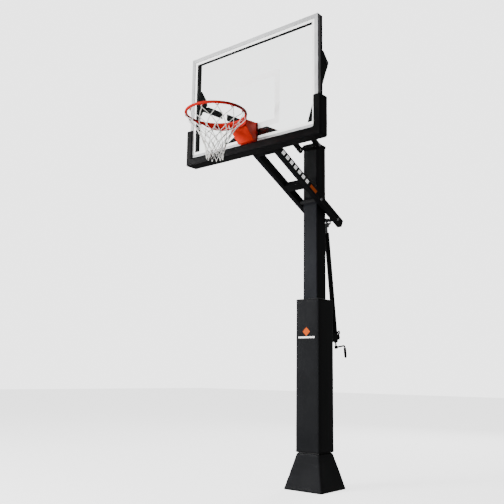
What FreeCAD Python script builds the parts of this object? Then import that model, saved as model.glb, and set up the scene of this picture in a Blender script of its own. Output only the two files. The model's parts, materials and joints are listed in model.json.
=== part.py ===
"""Height-adjustable in-ground basketball hoop with a glass board, a breakaway rim and a crank lift.

Millimetres. The origin is on the ground at the centre of the pole, +X is to the right of someone on the
court who faces the board, +Y points away from the court and +Z is up. The board is at its full height.

The lower and upper lift arms are equal and parallel, so the board stays upright as it goes down.
Shapes of the lift arms are drawn in a frame that lies along the arm: x across, y from the pivot on the pole
towards the back, z square to the arm. Shapes of the actuator are drawn in a frame that stands on its pivot:
x across, y towards the back and z along the screw.
"""

import FreeCAD, Part
import math
import os

V = FreeCAD.Vector

# Driving dimensions ------------------------------------------------------------------------------------

POLE_HALF = 76.2
POLE_WALL = 4.8
POLE_TOP = 3150.0
BASE_PLATE_HALF = 150.0
BASE_PLATE_THICK = 16.0
ANCHOR_HALF_SPACING = 115.0
ANCHOR_HOLE_RADIUS = 11.0

BOARD_HALF_WIDTH = 700.0
BOARD_BOTTOM = 2896.0
BOARD_TOP = 3861.0
BOARD_FRONT = -982.0
ALU_FACE = 34.0
ALU_DEPTH = 38.0
STEEL_DEPTH = 32.0
STEEL_SIDE = 60.0
STEEL_END = 45.0
GLASS_THICK = 9.5
GLASS_SETBACK = 8.0

RING_TOP = 3048.0
RING_ROD_RADIUS = 11.5
RING_RADIUS = 228.6 + RING_ROD_RADIUS
RING_CENTRE_Y = -1400.0
HOOK_COUNT = 12
HOOK_INSET = 3.6

POLE_PIVOT_Y = -95.0
LOWER_PIVOT_Z = 2585.0
PIVOT_SPACING = 530.0
ARM_REACH = 760.0
ARM_RISE = 363.0

ARM_INNER = 85.0
ARM_WIDTH = 50.0
ARM_BELOW = 23.5
ARM_ABOVE = 51.5
ARM_REAR = 407.0
ARM_NOSE = 24.0
PIN_BEHIND_PIVOT = 316.0

ACTUATOR_Y = 348.0
ACTUATOR_Z = 1345.0
LIFT_TRAVEL_DEG = 53.0

BOLT_RADIUS = 8.0
FIT = 0.05
BUSH_RADIUS = 11.0

# Places that follow from them --------------------------------------------------------------------------

ARM_LENGTH = math.hypot(ARM_REACH, ARM_RISE)
ARM_SLOPE = math.degrees(math.atan2(ARM_RISE, ARM_REACH))
UPPER_PIVOT_Z = LOWER_PIVOT_Z + PIVOT_SPACING
BOARD_PIVOT_Y = POLE_PIVOT_Y - ARM_REACH
BOARD_LOWER_PIVOT_Z = LOWER_PIVOT_Z + ARM_RISE
BOARD_UPPER_PIVOT_Z = UPPER_PIVOT_Z + ARM_RISE
ALU_BACK = BOARD_FRONT + ALU_DEPTH
STEEL_BACK = ALU_BACK + STEEL_DEPTH
GLASS_FRONT = BOARD_FRONT + GLASS_SETBACK
GLASS_BACK = GLASS_FRONT + GLASS_THICK
RING_Z = RING_TOP - RING_ROD_RADIUS

PIN_Y = POLE_PIVOT_Y + PIN_BEHIND_PIVOT * math.cos(math.radians(ARM_SLOPE))
PIN_Z = LOWER_PIVOT_Z - PIN_BEHIND_PIVOT * math.sin(math.radians(ARM_SLOPE))
PIN_REACH = math.hypot(PIN_Y - ACTUATOR_Y, PIN_Z - ACTUATOR_Z)
ACTUATOR_LEAN = math.degrees(math.atan2(ACTUATOR_Y - PIN_Y, PIN_Z - ACTUATOR_Z))


# Shape helpers -----------------------------------------------------------------------------------------

def box(x0, x1, y0, y1, z0, z1):
    return Part.makeBox(x1 - x0, y1 - y0, z1 - z0, V(x0, y0, z0))


def square(half, z0, z1):
    return box(-half, half, -half, half, z0, z1)


def prism(points, direction):
    """A closed outline of 3-D points pushed along a vector."""
    return Part.Face(Part.makePolygon(points + [points[0]])).extrude(direction)


def side_prism(outline, x0, x1):
    """An outline of (y, z) points pushed from x0 to x1."""
    return prism([V(x0, y, z) for y, z in outline], V(x1 - x0, 0, 0))


def rod(radius, x0, x1, y, z):
    """A round bar along X."""
    return Part.makeCylinder(radius, x1 - x0, V(x0, y, z), V(1, 0, 0))


def tube(outer, inner, x0, x1, y, z):
    return rod(outer, x0, x1, y, z).cut(rod(inner, x0, x1, y, z))


def post(radius, z0, z1, x=0.0, y=0.0):
    """A round bar along Z."""
    return Part.makeCylinder(radius, z1 - z0, V(x, y, z0), V(0, 0, 1))


def hex_head(across, x0, x1, y, z):
    corner = across / math.sqrt(3)
    turns = [math.radians(60 * k) for k in range(6)]
    return side_prism([(y + corner * math.cos(t), z + corner * math.sin(t)) for t in turns], x0, x1)


def through_bolt(half_length, y, z, radius=BOLT_RADIUS, head=26.0, head_thick=10.0):
    """A bolt along X with its head at one end and its nut at the other, as one piece."""
    shank = rod(radius, -half_length, half_length, y, z)
    ends = [hex_head(head, s * half_length - (head_thick if s < 0 else 0),
                     s * half_length + (head_thick if s > 0 else 0), y, z) for s in (-1, 1)]
    return shank.fuse(ends).removeSplitter()


def mirrored(shape):
    """The same piece on the other side of the hoop."""
    return shape.mirror(V(0, 0, 0), V(1, 0, 0))


def group(shapes):
    return Part.makeCompound(shapes)


def on_arm(shape, pivot_z):
    """Carries a shape from the frame of a lift arm to the hoop."""
    placed = shape.copy()
    placed.rotate(V(0, 0, 0), V(1, 0, 0), -ARM_SLOPE)
    placed.translate(V(0, POLE_PIVOT_Y, pivot_z))
    return placed


def on_actuator(shape):
    """Carries a shape from the frame of the actuator to the hoop."""
    placed = shape.copy()
    placed.rotate(V(0, 0, 0), V(1, 0, 0), ACTUATOR_LEAN)
    placed.translate(V(0, ACTUATOR_Y, ACTUATOR_Z))
    return placed


# Foot and pole -----------------------------------------------------------------------------------------

FOOT_COVER_HEIGHT = 312.0
FOOT_COVER_HALF_BOTTOM = 200.0
FOOT_COVER_HALF_TOP = 118.0
FOOT_COVER_WALL = 8.0
POLE_PAD_TOP = 1671.0
POLE_PAD_HALF = 125.0
POLE_PAD_INNER = 77.0
POLE_PAD_SLIT = 45.0
BRACKET_Z0 = 1262.0
BRACKET_Z1 = 1400.0
TRUNNION_END = 38.0


def base_plate():
    plate = square(BASE_PLATE_HALF, 0, BASE_PLATE_THICK)
    for x in (-1, 1):
        for y in (-1, 1):
            plate = plate.cut(post(ANCHOR_HOLE_RADIUS, 0, BASE_PLATE_THICK,
                                   x * ANCHOR_HALF_SPACING, y * ANCHOR_HALF_SPACING))
    return plate.fuse(base_gussets()).removeSplitter()


def base_gussets():
    """Four upright ribs between the base plate and the faces of the pole."""
    width, height, thick = 60.0, 100.0, 8.0
    outline = [(POLE_HALF, BASE_PLATE_THICK), (POLE_HALF + width, BASE_PLATE_THICK),
               (POLE_HALF + width, BASE_PLATE_THICK + 12), (POLE_HALF, BASE_PLATE_THICK + height)]
    one = side_prism(outline, -thick / 2, thick / 2)
    gussets = []
    for k in range(4):
        turned = one.copy()
        turned.rotate(V(0, 0, 0), V(0, 0, 1), 90 * k)
        gussets.append(turned)
    return gussets


def pole():
    outer = square(POLE_HALF, BASE_PLATE_THICK, POLE_TOP)
    vertical = [e for e in outer.Edges if abs(e.tangentAt(e.FirstParameter).z) > 0.9]
    outer = outer.makeFillet(9.0, vertical)
    return outer.cut(square(POLE_HALF - POLE_WALL, BASE_PLATE_THICK, POLE_TOP))


def pole_cap():
    half, skirt = POLE_HALF + 3.0, 20.0
    cap = square(half, POLE_TOP - skirt, POLE_TOP + 6.0)
    cap = cap.makeFillet(4.0, [e for e in cap.Edges if e.CenterOfMass.z > POLE_TOP - 1])
    return cap.cut(square(POLE_HALF, POLE_TOP - skirt, POLE_TOP))


def foot_cover():
    def frustum(shrink, z0, z1):
        rings = []
        for z in (z0, z1):
            share = z / FOOT_COVER_HEIGHT
            half = FOOT_COVER_HALF_BOTTOM + share * (FOOT_COVER_HALF_TOP - FOOT_COVER_HALF_BOTTOM) - shrink
            corners = [V(-half, -half, z), V(half, -half, z), V(half, half, z), V(-half, half, z)]
            rings.append(Part.makePolygon(corners + [corners[0]]))
        return Part.makeLoft(rings, True, True)
    shell = frustum(0.0, 0.0, FOOT_COVER_HEIGHT)
    hollow = frustum(FOOT_COVER_WALL, 0.0, FOOT_COVER_HEIGHT - FOOT_COVER_WALL)
    return shell.cut(hollow).cut(square(POLE_PAD_INNER, 0, FOOT_COVER_HEIGHT))


def pole_pad():
    pad = square(POLE_PAD_HALF, FOOT_COVER_HEIGHT, POLE_PAD_TOP)
    pad = pad.cut(square(POLE_PAD_INNER, FOOT_COVER_HEIGHT, POLE_PAD_TOP))
    return pad.cut(box(-POLE_PAD_SLIT, POLE_PAD_SLIT, 0, POLE_PAD_HALF, FOOT_COVER_HEIGHT, POLE_PAD_TOP))


def pad_straps():
    reach, high, thick = 75.0, 50.0, 3.0
    return group([box(-reach, reach, POLE_PAD_HALF, POLE_PAD_HALF + thick, z, z + high)
                  for z in (470.0, 900.0, 1150.0, 1560.0)])


def pivot_sleeve(z):
    """A round sleeve welded across the front of the pole, on which a pair of lift arms turns."""
    radius = -POLE_HALF - POLE_PIVOT_Y
    return tube(radius, BOLT_RADIUS + FIT, -ARM_INNER + 2.5, ARM_INNER - 2.5, POLE_PIVOT_Y, z)


def actuator_bracket():
    """Two plates on a back plate, which carry the foot of the actuator behind the pole."""
    back = box(-37, 37, POLE_HALF, POLE_HALF + 8, BRACKET_Z0, BRACKET_Z1)
    outline = [(POLE_HALF + 8, BRACKET_Z0), (POLE_HALF + 60, BRACKET_Z0), (ACTUATOR_Y - 8, ACTUATOR_Z - 26),
               (ACTUATOR_Y + 20, ACTUATOR_Z - 24), (ACTUATOR_Y + 28, ACTUATOR_Z),
               (ACTUATOR_Y + 16, ACTUATOR_Z + 24), (ACTUATOR_Y - 12, ACTUATOR_Z + 26),
               (POLE_HALF + 8, BRACKET_Z1)]
    plates = []
    for x0, x1 in ((-37, -29), (29, 37)):
        plate = side_prism(outline, x0, x1)
        plates.append(plate.cut(rod(BOLT_RADIUS + FIT, x0, x1, ACTUATOR_Y, ACTUATOR_Z)))
    return back.fuse(plates).removeSplitter()


def lift_stop():
    """A bolt that stands out of the back of the pole where the lift ends."""
    z, reach = 2722.0, 36.0
    shank = Part.makeCylinder(6.0, reach, V(0, POLE_HALF, z), V(0, 1, 0))
    tip = Part.makeCylinder(10.0, 9.0, V(0, POLE_HALF + reach, z), V(0, 1, 0))
    return shank.fuse(tip)


# Lower lift arms ---------------------------------------------------------------------------------------

ARM_WALL = 3.5
CROSS_HIGH = 50.0
CROSS_LONG = 80.0
CAP_THICK = 4.0


def arm_bores(shape, places):
    for y in places:
        shape = shape.cut(rod(BUSH_RADIUS, ARM_INNER, ARM_INNER + ARM_WIDTH, y, 0))
    return shape


def lower_arm():
    x0, x1 = ARM_INNER, ARM_INNER + ARM_WIDTH
    y0, y1 = -ARM_LENGTH - ARM_NOSE, ARM_REAR
    outer = box(x0, x1, y0, y1, -ARM_BELOW, ARM_ABOVE)
    along = [e for e in outer.Edges if abs(e.tangentAt(e.FirstParameter).y) > 0.9]
    outer = outer.makeFillet(4.0, along)
    inner = box(x0 + ARM_WALL, x1 - ARM_WALL, y0, y1, -ARM_BELOW + ARM_WALL, ARM_ABOVE - ARM_WALL)
    arm = arm_bores(outer.cut(inner), (0, -ARM_LENGTH))
    return arm.cut(rod(BOLT_RADIUS, x0, x1, PIN_BEHIND_PIVOT, 0))


def arm_end_caps():
    """Plugs in the four open ends of the lower arms."""
    x0, x1 = ARM_INNER + ARM_WALL, ARM_INNER + ARM_WIDTH - ARM_WALL
    z0, z1 = -ARM_BELOW + ARM_WALL, ARM_ABOVE - ARM_WALL
    front = -ARM_LENGTH - ARM_NOSE
    plugs = [box(x0, x1, front, front + CAP_THICK, z0, z1), box(x0, x1, ARM_REAR - 10, ARM_REAR, z0, z1)]
    return group(plugs + [mirrored(p) for p in plugs])


def arm_cross(y0):
    outer = box(-ARM_INNER, ARM_INNER, y0, y0 + CROSS_LONG, -ARM_BELOW, -ARM_BELOW + CROSS_HIGH)
    inner = box(-ARM_INNER, ARM_INNER, y0 + ARM_WALL, y0 + CROSS_LONG - ARM_WALL,
                -ARM_BELOW + ARM_WALL, -ARM_BELOW + CROSS_HIGH - ARM_WALL)
    return outer.cut(inner)


def arm_bush(y):
    """A bush through one arm, with a flange that keeps the arm off its neighbour."""
    x0, x1 = ARM_INNER, ARM_INNER + ARM_WIDTH
    body = rod(BUSH_RADIUS, x0, x1, y, 0).fuse(rod(17.0, x0 - 2.0, x0, y, 0))
    return body.cut(rod(BOLT_RADIUS + FIT, x0 - 2.0, x1, y, 0)).removeSplitter()


def lower_bushes():
    bushes = [arm_bush(y) for y in (0, -ARM_LENGTH)]
    return group(bushes + [mirrored(b) for b in bushes])


def actuator_pin():
    """The bolt through both arms that the actuator pushes, with a spacer on each side of the rod head."""
    spacer = rod(13.0, 24.0, ARM_INNER, PIN_BEHIND_PIVOT, 0)
    bolt = through_bolt(ARM_INNER + ARM_WIDTH, PIN_BEHIND_PIVOT, 0)
    return bolt.fuse([spacer, mirrored(spacer)]).removeSplitter()


# Upper lift arms ---------------------------------------------------------------------------------------

FORK_INNER = 88.0
FORK_WIDTH = 30.0
FORK_HALF_DEPTH = 22.5
FORK_FRONT = -193.0
FORK_NOSE = 30.0
STRUT_TOP = -25.0
STRUT_BOTTOM = -70.0
STRUT_HALF_WIDTH = 26.5
STRUT_WALL = 3.0
STRUT_POLE_X = 112.0
STRUT_BOARD_X = 655.0
STRUT_END_Y = -ARM_LENGTH + 45.0
STRUT_EYE_X0 = 651.0
STRUT_EYE_X1 = 685.0


def fork_arm():
    x0, x1 = FORK_INNER, FORK_INNER + FORK_WIDTH
    outer = box(x0, x1, FORK_FRONT, FORK_NOSE, -FORK_HALF_DEPTH, FORK_HALF_DEPTH)
    inner = box(x0 + STRUT_WALL, x1 - STRUT_WALL, FORK_FRONT, FORK_NOSE - STRUT_WALL,
                -FORK_HALF_DEPTH + STRUT_WALL, FORK_HALF_DEPTH - STRUT_WALL)
    return outer.cut(inner).cut(rod(BUSH_RADIUS, x0, x1, 0, 0))


def upper_fork():
    """Two short arms beside the pole, welded on top of the cross tube that the struts meet."""
    return upper_cross().fuse([fork_arm(), mirrored(fork_arm())]).removeSplitter()


def fork_bushes():
    x0, x1 = FORK_INNER, FORK_INNER + FORK_WIDTH
    body = rod(BUSH_RADIUS, x0, x1, 0, 0).fuse(rod(17.0, x0 - 5.0, x0, 0, 0))
    bush = body.cut(rod(BOLT_RADIUS + FIT, x0 - 5.0, x1, 0, 0)).removeSplitter()
    return [bush, mirrored(bush)]


def upper_cross():
    half, long, high = 150.0, 50.0, 50.0
    top = -FORK_HALF_DEPTH
    outer = box(-half, half, FORK_FRONT, FORK_FRONT + long, top - high, top)
    inner = box(-half + 3, half - 3, FORK_FRONT + STRUT_WALL, FORK_FRONT + long - STRUT_WALL,
                top - high + STRUT_WALL, top - STRUT_WALL)
    return outer.cut(inner)


def strut():
    """A rectangular tube from the middle of the hoop out to one side of the board, with its eye."""
    def block(inset):
        half = STRUT_HALF_WIDTH - inset
        outline = [V(STRUT_POLE_X - half, FORK_FRONT, STRUT_BOTTOM + inset),
                   V(STRUT_POLE_X + half, FORK_FRONT, STRUT_BOTTOM + inset),
                   V(STRUT_BOARD_X + half, STRUT_END_Y, STRUT_BOTTOM + inset),
                   V(STRUT_BOARD_X - half, STRUT_END_Y, STRUT_BOTTOM + inset)]
        return prism(outline, V(0, 0, STRUT_TOP - STRUT_BOTTOM - 2 * inset))
    return block(0.0).cut(block(STRUT_WALL)).fuse(strut_eye()).removeSplitter()


def strut_eye():
    """The welded end of a strut, which turns on the side bracket of the board."""
    rear = STRUT_END_Y
    outline = [(rear, STRUT_BOTTOM), (rear, 8.0), (rear - 30, 20.0), (-ARM_LENGTH - 6, 20.0),
               (-ARM_LENGTH - 20, 6.0), (-ARM_LENGTH - 20, -14.0), (-ARM_LENGTH + 8, STRUT_BOTTOM)]
    eye = side_prism(outline, STRUT_EYE_X0, STRUT_EYE_X1)
    return eye.cut(rod(BUSH_RADIUS, STRUT_EYE_X0, STRUT_EYE_X1, -ARM_LENGTH, 0))


def strut_bushes():
    bush = tube(BUSH_RADIUS, BOLT_RADIUS + FIT, STRUT_EYE_X0, STRUT_EYE_X1, -ARM_LENGTH, 0)
    return [bush, mirrored(bush)]


# Backboard ---------------------------------------------------------------------------------------------

SLOT_DEPTH = 14.0
SLOT_SIDE = 2.0
PAD_FRONT = -998.0
PAD_BACK = -890.0
PAD_HALF = 728.0
PAD_BOTTOM = 2830.0
PAD_LEG_TOP = 3165.0
PAD_LEG_COVER = 38.0
PAD_LIP_FRONT = 2901.0
PAD_LIP_BACK = 2920.0
PAD_CLEAR = 0.3
BACKING_HALF = 125.0
BACKING_TOP = 3055.0
WING_HALF = 312.0
PLATE_INNER = 72.0
PLATE_THICK = 8.0
RIM_BOLT_X = 63.5
RIM_BOLT_Z = (2950.0, 3050.0)
RIM_BOLT_RADIUS = 6.0


def glass_slot():
    reach = BOARD_HALF_WIDTH - ALU_FACE + SLOT_DEPTH
    return box(-reach, reach, GLASS_FRONT - SLOT_SIDE, GLASS_BACK + SLOT_SIDE,
               BOARD_BOTTOM + ALU_FACE - SLOT_DEPTH, BOARD_TOP - ALU_FACE + SLOT_DEPTH)


def rim_bolt_holes(y0, y1, radius):
    return group([Part.makeCylinder(radius, y1 - y0, V(x, y0, z), V(0, 1, 0))
                  for x in (-RIM_BOLT_X, RIM_BOLT_X) for z in RIM_BOLT_Z])


def board_frame(side):
    """One mitred aluminium bar of the front frame, grooved for the glass."""
    w, b, t, f = BOARD_HALF_WIDTH, BOARD_BOTTOM, BOARD_TOP, ALU_FACE
    outlines = {
        "top": [(-w, t), (w, t), (w - f, t - f), (-w + f, t - f)],
        "bottom": [(-w, b), (w, b), (w - f, b + f), (-w + f, b + f)],
        "left": [(-w, b), (-w, t), (-w + f, t - f), (-w + f, b + f)],
        "right": [(w, b), (w, t), (w - f, t - f), (w - f, b + f)],
    }
    bar = prism([V(x, BOARD_FRONT, z) for x, z in outlines[side]], V(0, ALU_DEPTH, 0))
    return bar.cut(glass_slot())


def pane():
    """The glass before it is drilled, reaching into the groove of the frame all round."""
    inset = ALU_FACE - SLOT_DEPTH + SLOT_SIDE
    reach = BOARD_HALF_WIDTH - inset
    return box(-reach, reach, GLASS_FRONT, GLASS_BACK, BOARD_BOTTOM + inset, BOARD_TOP - inset)


def glass_panel():
    return pane().cut(rim_bolt_holes(GLASS_FRONT, GLASS_BACK, RIM_BOLT_RADIUS + 2))


def glass_gasket():
    half, low, high = BOARD_HALF_WIDTH - ALU_FACE, BOARD_BOTTOM + ALU_FACE, BOARD_TOP - ALU_FACE
    window = box(-half, half, BOARD_FRONT, ALU_BACK, low, high)
    return glass_slot().cut(window).cut(pane())


def steel_tube(x0, x1, z0, z1, wall=2.5):
    outer = box(x0, x1, ALU_BACK, STEEL_BACK, z0, z1)
    return outer.cut(box(x0 + wall, x1 - wall, ALU_BACK + wall, STEEL_BACK - wall, z0 + wall, z1 - wall))


def rear_frame(side):
    w = BOARD_HALF_WIDTH
    low, high = BOARD_BOTTOM + STEEL_END, BOARD_TOP - STEEL_END
    spans = {
        "top": (-w, w, high, BOARD_TOP),
        "bottom": (-w, w, BOARD_BOTTOM, low),
        "left": (-w, -w + STEEL_SIDE, low, high),
        "right": (w - STEEL_SIDE, w, low, high),
    }
    return steel_tube(*spans[side])


def rim_backing():
    """A steel channel behind the glass that takes the load of the rim, with a sloping wing on each side."""
    low = BOARD_BOTTOM + STEEL_END
    channel = steel_tube(-BACKING_HALF, BACKING_HALF, low, BACKING_TOP, 4.0)
    outline = [V(BACKING_HALF - 4, ALU_BACK, low), V(WING_HALF, ALU_BACK, low),
               V(WING_HALF, ALU_BACK, low + 12), V(BACKING_HALF - 4, ALU_BACK, BACKING_TOP)]
    wing = prism(outline, V(0, 4, 0))
    channel = channel.fuse([wing, mirrored(wing)]).removeSplitter()
    return channel.cut(rim_bolt_holes(ALU_BACK, STEEL_BACK, RIM_BOLT_RADIUS))


def backing_spacer():
    pad = box(-90, 90, GLASS_BACK, ALU_BACK, BOARD_BOTTOM + ALU_FACE + 6, BACKING_TOP)
    return pad.cut(rim_bolt_holes(GLASS_BACK, ALU_BACK, RIM_BOLT_RADIUS))


def lower_brackets():
    """The two plates that hang the board on the lower arms."""
    y, z = BOARD_PIVOT_Y, BOARD_LOWER_PIVOT_Z
    outline = [(STEEL_BACK, z - 23), (STEEL_BACK, 3050), (STEEL_BACK + 16, 3050), (y + 10, z + 30),
               (y + 24, z + 14), (y + 26, z - 4), (y + 14, z - 22), (y - 14, z - 26)]
    plate = side_prism(outline, PLATE_INNER, PLATE_INNER + PLATE_THICK)
    plate = plate.cut(rod(BOLT_RADIUS, PLATE_INNER, PLATE_INNER + PLATE_THICK, y, z))
    return group([plate, mirrored(plate)])


def board_pivot_sleeve():
    return tube(16, BOLT_RADIUS, -PLATE_INNER, PLATE_INNER, BOARD_PIVOT_Y, BOARD_LOWER_PIVOT_Z)


def side_bracket():
    """Two plates on the side tube of the board that hold one upper strut."""
    y, z = BOARD_PIVOT_Y, BOARD_UPPER_PIVOT_Z
    outline = [(STEEL_BACK, z - 148), (STEEL_BACK, z + 84), (STEEL_BACK + 14, z + 84), (y + 10, z + 27),
               (y + 25, z + 14), (y + 29, z), (y + 25, z - 14), (y + 14, z - 25),
               (STEEL_BACK + 14, z - 148)]
    plates = []
    for x0 in (BOARD_HALF_WIDTH - STEEL_SIDE, BOARD_HALF_WIDTH - PLATE_THICK):
        plate = side_prism(outline, x0, x0 + PLATE_THICK)
        plates.append(plate.cut(rod(BOLT_RADIUS, x0, x0 + PLATE_THICK, y, z)))
    web = box(BOARD_HALF_WIDTH - STEEL_SIDE, BOARD_HALF_WIDTH, STEEL_BACK, STEEL_BACK + 4, z - 148, z + 84)
    return web.fuse(plates).removeSplitter()


def board_pivot_bolts():
    """A short bolt for each strut and a long one for the lower arms."""
    x0, x1 = BOARD_HALF_WIDTH - STEEL_SIDE - 4, BOARD_HALF_WIDTH + 4
    y, z = BOARD_PIVOT_Y, BOARD_UPPER_PIVOT_Z
    ends = [hex_head(26, x1 - 4, x1 + 6, y, z), hex_head(26, x0 - 6, x0 + 4, y, z)]
    bolt = rod(BOLT_RADIUS, x0, x1, y, z).fuse(ends).removeSplitter()
    lower = through_bolt(ARM_INNER + ARM_WIDTH + 2, y, BOARD_LOWER_PIVOT_Z)
    return group([bolt, mirrored(bolt), lower])


def board_pad_bottom():
    """Foam channel under the board, with a lip in front and one behind."""
    outline = [(PAD_FRONT, PAD_BOTTOM), (PAD_BACK, PAD_BOTTOM), (PAD_BACK, PAD_LIP_BACK),
               (STEEL_BACK + PAD_CLEAR, PAD_LIP_BACK), (STEEL_BACK + PAD_CLEAR, BOARD_BOTTOM - PAD_CLEAR),
               (BOARD_FRONT - PAD_CLEAR, BOARD_BOTTOM - PAD_CLEAR),
               (BOARD_FRONT - PAD_CLEAR, PAD_LIP_FRONT), (PAD_FRONT, PAD_LIP_FRONT)]
    return side_prism(outline, -PAD_HALF, PAD_HALF)


def board_pad_leg():
    """Foam channel up one lower corner of the board."""
    inside = BOARD_HALF_WIDTH + PAD_CLEAR
    edge = BOARD_HALF_WIDTH - PAD_LEG_COVER
    outline = [(PAD_HALF, PAD_FRONT), (edge, PAD_FRONT), (edge, BOARD_FRONT - PAD_CLEAR),
               (inside, BOARD_FRONT - PAD_CLEAR), (inside, STEEL_BACK + PAD_CLEAR),
               (edge, STEEL_BACK + PAD_CLEAR), (edge, PAD_BACK), (PAD_HALF, PAD_BACK)]
    floor = BOARD_BOTTOM - PAD_CLEAR
    leg = prism([V(x, y, floor) for x, y in outline], V(0, 0, PAD_LEG_TOP - floor))
    return leg.cut(board_pad_bottom())


# Rim ---------------------------------------------------------------------------------------------------

MOUNT_THICK = 5.0
MOUNT_HALF = 90.0
MOUNT_BOTTOM = 2905.0
MOUNT_TOP = 3070.0
MOUNT_FRONT = BOARD_FRONT - MOUNT_THICK
HINGE_Y = -1014.0
HINGE_Z = 2924.0
HINGE_PIN_RADIUS = 6.0
CHEEK_X = 76.0
CARRIER_X = 70.0
COVER_HALF = 86.0
COVER_SHEET = 2.5
FLANGE_SHEET = 5.0
COVER_REAR = -995.0
SPRING_X = 36.0
SPRING_Z = 2985.0
CROSS_PLATE_Y = -1040.0
SPRING_FRONT = -1080.0


def rim_mount():
    """The plate on the board, with two cheeks that hold the hinge pin."""
    plate = box(-MOUNT_HALF, MOUNT_HALF, MOUNT_FRONT, BOARD_FRONT, MOUNT_BOTTOM, MOUNT_TOP)
    plate = plate.cut(rim_bolt_holes(MOUNT_FRONT, BOARD_FRONT, RIM_BOLT_RADIUS))
    outline = [(MOUNT_FRONT, HINGE_Z - 7), (HINGE_Y + 12, HINGE_Z - 10), (HINGE_Y - 7, HINGE_Z - 12),
               (HINGE_Y - 13, HINGE_Z + 4), (HINGE_Y - 4, HINGE_Z + 14), (MOUNT_FRONT, HINGE_Z + 50)]
    cheeks = []
    for x0 in (-CHEEK_X - 5, CHEEK_X):
        cheek = side_prism(outline, x0, x0 + 5)
        cheeks.append(cheek.cut(rod(HINGE_PIN_RADIUS, x0, x0 + 5, HINGE_Y, HINGE_Z)))
    return plate.fuse(cheeks).removeSplitter()


def mount_spacer():
    pad = box(-MOUNT_HALF, MOUNT_HALF, BOARD_FRONT, GLASS_FRONT, BOARD_BOTTOM + ALU_FACE + 2, MOUNT_TOP)
    return pad.cut(rim_bolt_holes(BOARD_FRONT, GLASS_FRONT, RIM_BOLT_RADIUS))


def rim_bolts():
    shapes = []
    length = STEEL_BACK + 12 - MOUNT_FRONT
    for x in (-RIM_BOLT_X, RIM_BOLT_X):
        for z in RIM_BOLT_Z:
            head = Part.makeCylinder(11, 6, V(x, MOUNT_FRONT - 6, z), V(0, 1, 0))
            shank = Part.makeCylinder(RIM_BOLT_RADIUS, length, V(x, MOUNT_FRONT, z), V(0, 1, 0))
            nut = Part.makeCylinder(8, 10, V(x, STEEL_BACK, z), V(0, 1, 0))
            shapes.append(head.fuse([shank, nut]).removeSplitter())
    return group(shapes)


def rim_carrier():
    """The part of the rim that turns on the hinge pin: two sides, a spring plate and the ring's flange."""
    top = RING_Z - RING_ROD_RADIUS - FLANGE_SHEET
    outline = [(HINGE_Y + 11, HINGE_Z - 9), (HINGE_Y - 9, HINGE_Z - 9), (-1112, 3006), (-1112, top),
               (-1004, top), (-1004, HINGE_Z + 20)]
    sides = []
    for x0 in (-CARRIER_X - 5, CARRIER_X):
        side = side_prism(outline, x0, x0 + 5)
        sides.append(side.cut(rod(HINGE_PIN_RADIUS + FIT, x0, x0 + 5, HINGE_Y, HINGE_Z)))
    plate = box(-CARRIER_X, CARRIER_X, CROSS_PLATE_Y - 6, CROSS_PLATE_Y, 2955, top)
    for x in (-SPRING_X, SPRING_X):
        plate = plate.cut(box(x - 9, x + 9, CROSS_PLATE_Y - 6, CROSS_PLATE_Y, SPRING_Z - 11, SPRING_Z + 21))
    return plate.fuse(sides + [rim_flange(), ring_brace()]).removeSplitter()


def hinge_pin():
    reach, head_radius, head = CHEEK_X + 5, 8.5, 1.5
    shank = rod(HINGE_PIN_RADIUS, -reach, reach, HINGE_Y, HINGE_Z)
    heads = [rod(head_radius, reach, reach + head, HINGE_Y, HINGE_Z)]
    heads.append(mirrored(heads[0]))
    return shank.fuse(heads).removeSplitter()


def spring_bolts():
    """Long bolts on the mount plate that the springs push against."""
    shapes = []
    for x in (-SPRING_X, SPRING_X):
        shank = Part.makeCylinder(5, MOUNT_FRONT - SPRING_FRONT, V(x, SPRING_FRONT, SPRING_Z), V(0, 1, 0))
        washer = Part.makeCylinder(14, 3, V(x, SPRING_FRONT, SPRING_Z), V(0, 1, 0))
        nut = Part.makeCylinder(8, 7, V(x, SPRING_FRONT - 7, SPRING_Z), V(0, 1, 0))
        shapes.append(shank.fuse([washer, nut]).removeSplitter())
    return group(shapes)


def rim_springs():
    """The space of the two compression springs, each as a plain sleeve."""
    y0, y1 = SPRING_FRONT + 3.3, CROSS_PLATE_Y - 6.3
    return group([Part.makeCylinder(13, y1 - y0, V(x, y0, SPRING_Z), V(0, 1, 0)).cut(
        Part.makeCylinder(9, y1 - y0, V(x, y0, SPRING_Z), V(0, 1, 0))) for x in (-SPRING_X, SPRING_X)])


def rim_ring():
    return Part.makeTorus(RING_RADIUS, RING_ROD_RADIUS, V(0, RING_CENTRE_Y, RING_Z), V(0, 0, 1))


def rim_flange():
    """The flat plate under the back of the ring, its front edge cut to the ring."""
    top = RING_Z - RING_ROD_RADIUS
    low = top - FLANGE_SHEET
    half = COVER_HALF - 3
    outline = [V(-half, -1004, low), V(half, -1004, low), V(half, -1128, low), V(150, -1200, low),
               V(120, -1240, low), V(-120, -1240, low), V(-150, -1200, low), V(-half, -1128, low)]
    plate = prism(outline, V(0, 0, FLANGE_SHEET))
    return plate.cut(post(RING_RADIUS, low, top, 0, RING_CENTRE_Y))


def ring_brace():
    """The curved plate that stands under the back of the ring, highest in the middle."""
    inner, outer, reach, drop = RING_RADIUS + 3.4, RING_RADIUS + 8.0, 234.0, 44.0
    top = RING_Z - 3.0
    low = RING_Z - RING_ROD_RADIUS - drop
    band = post(outer, low, top, 0, RING_CENTRE_Y).cut(post(inner, low, top, 0, RING_CENTRE_Y))
    band = band.cut(rim_ring())
    steps = [k / 16 for k in range(-16, 17)]
    edge = [V(reach * s, RING_CENTRE_Y, low + (drop + 2) * s ** 6) for s in steps]
    outline = edge + [V(reach, RING_CENTRE_Y, top), V(-reach, RING_CENTRE_Y, top)]
    return band.common(prism(outline, V(0, 2 * RING_RADIUS, 0)))


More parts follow.
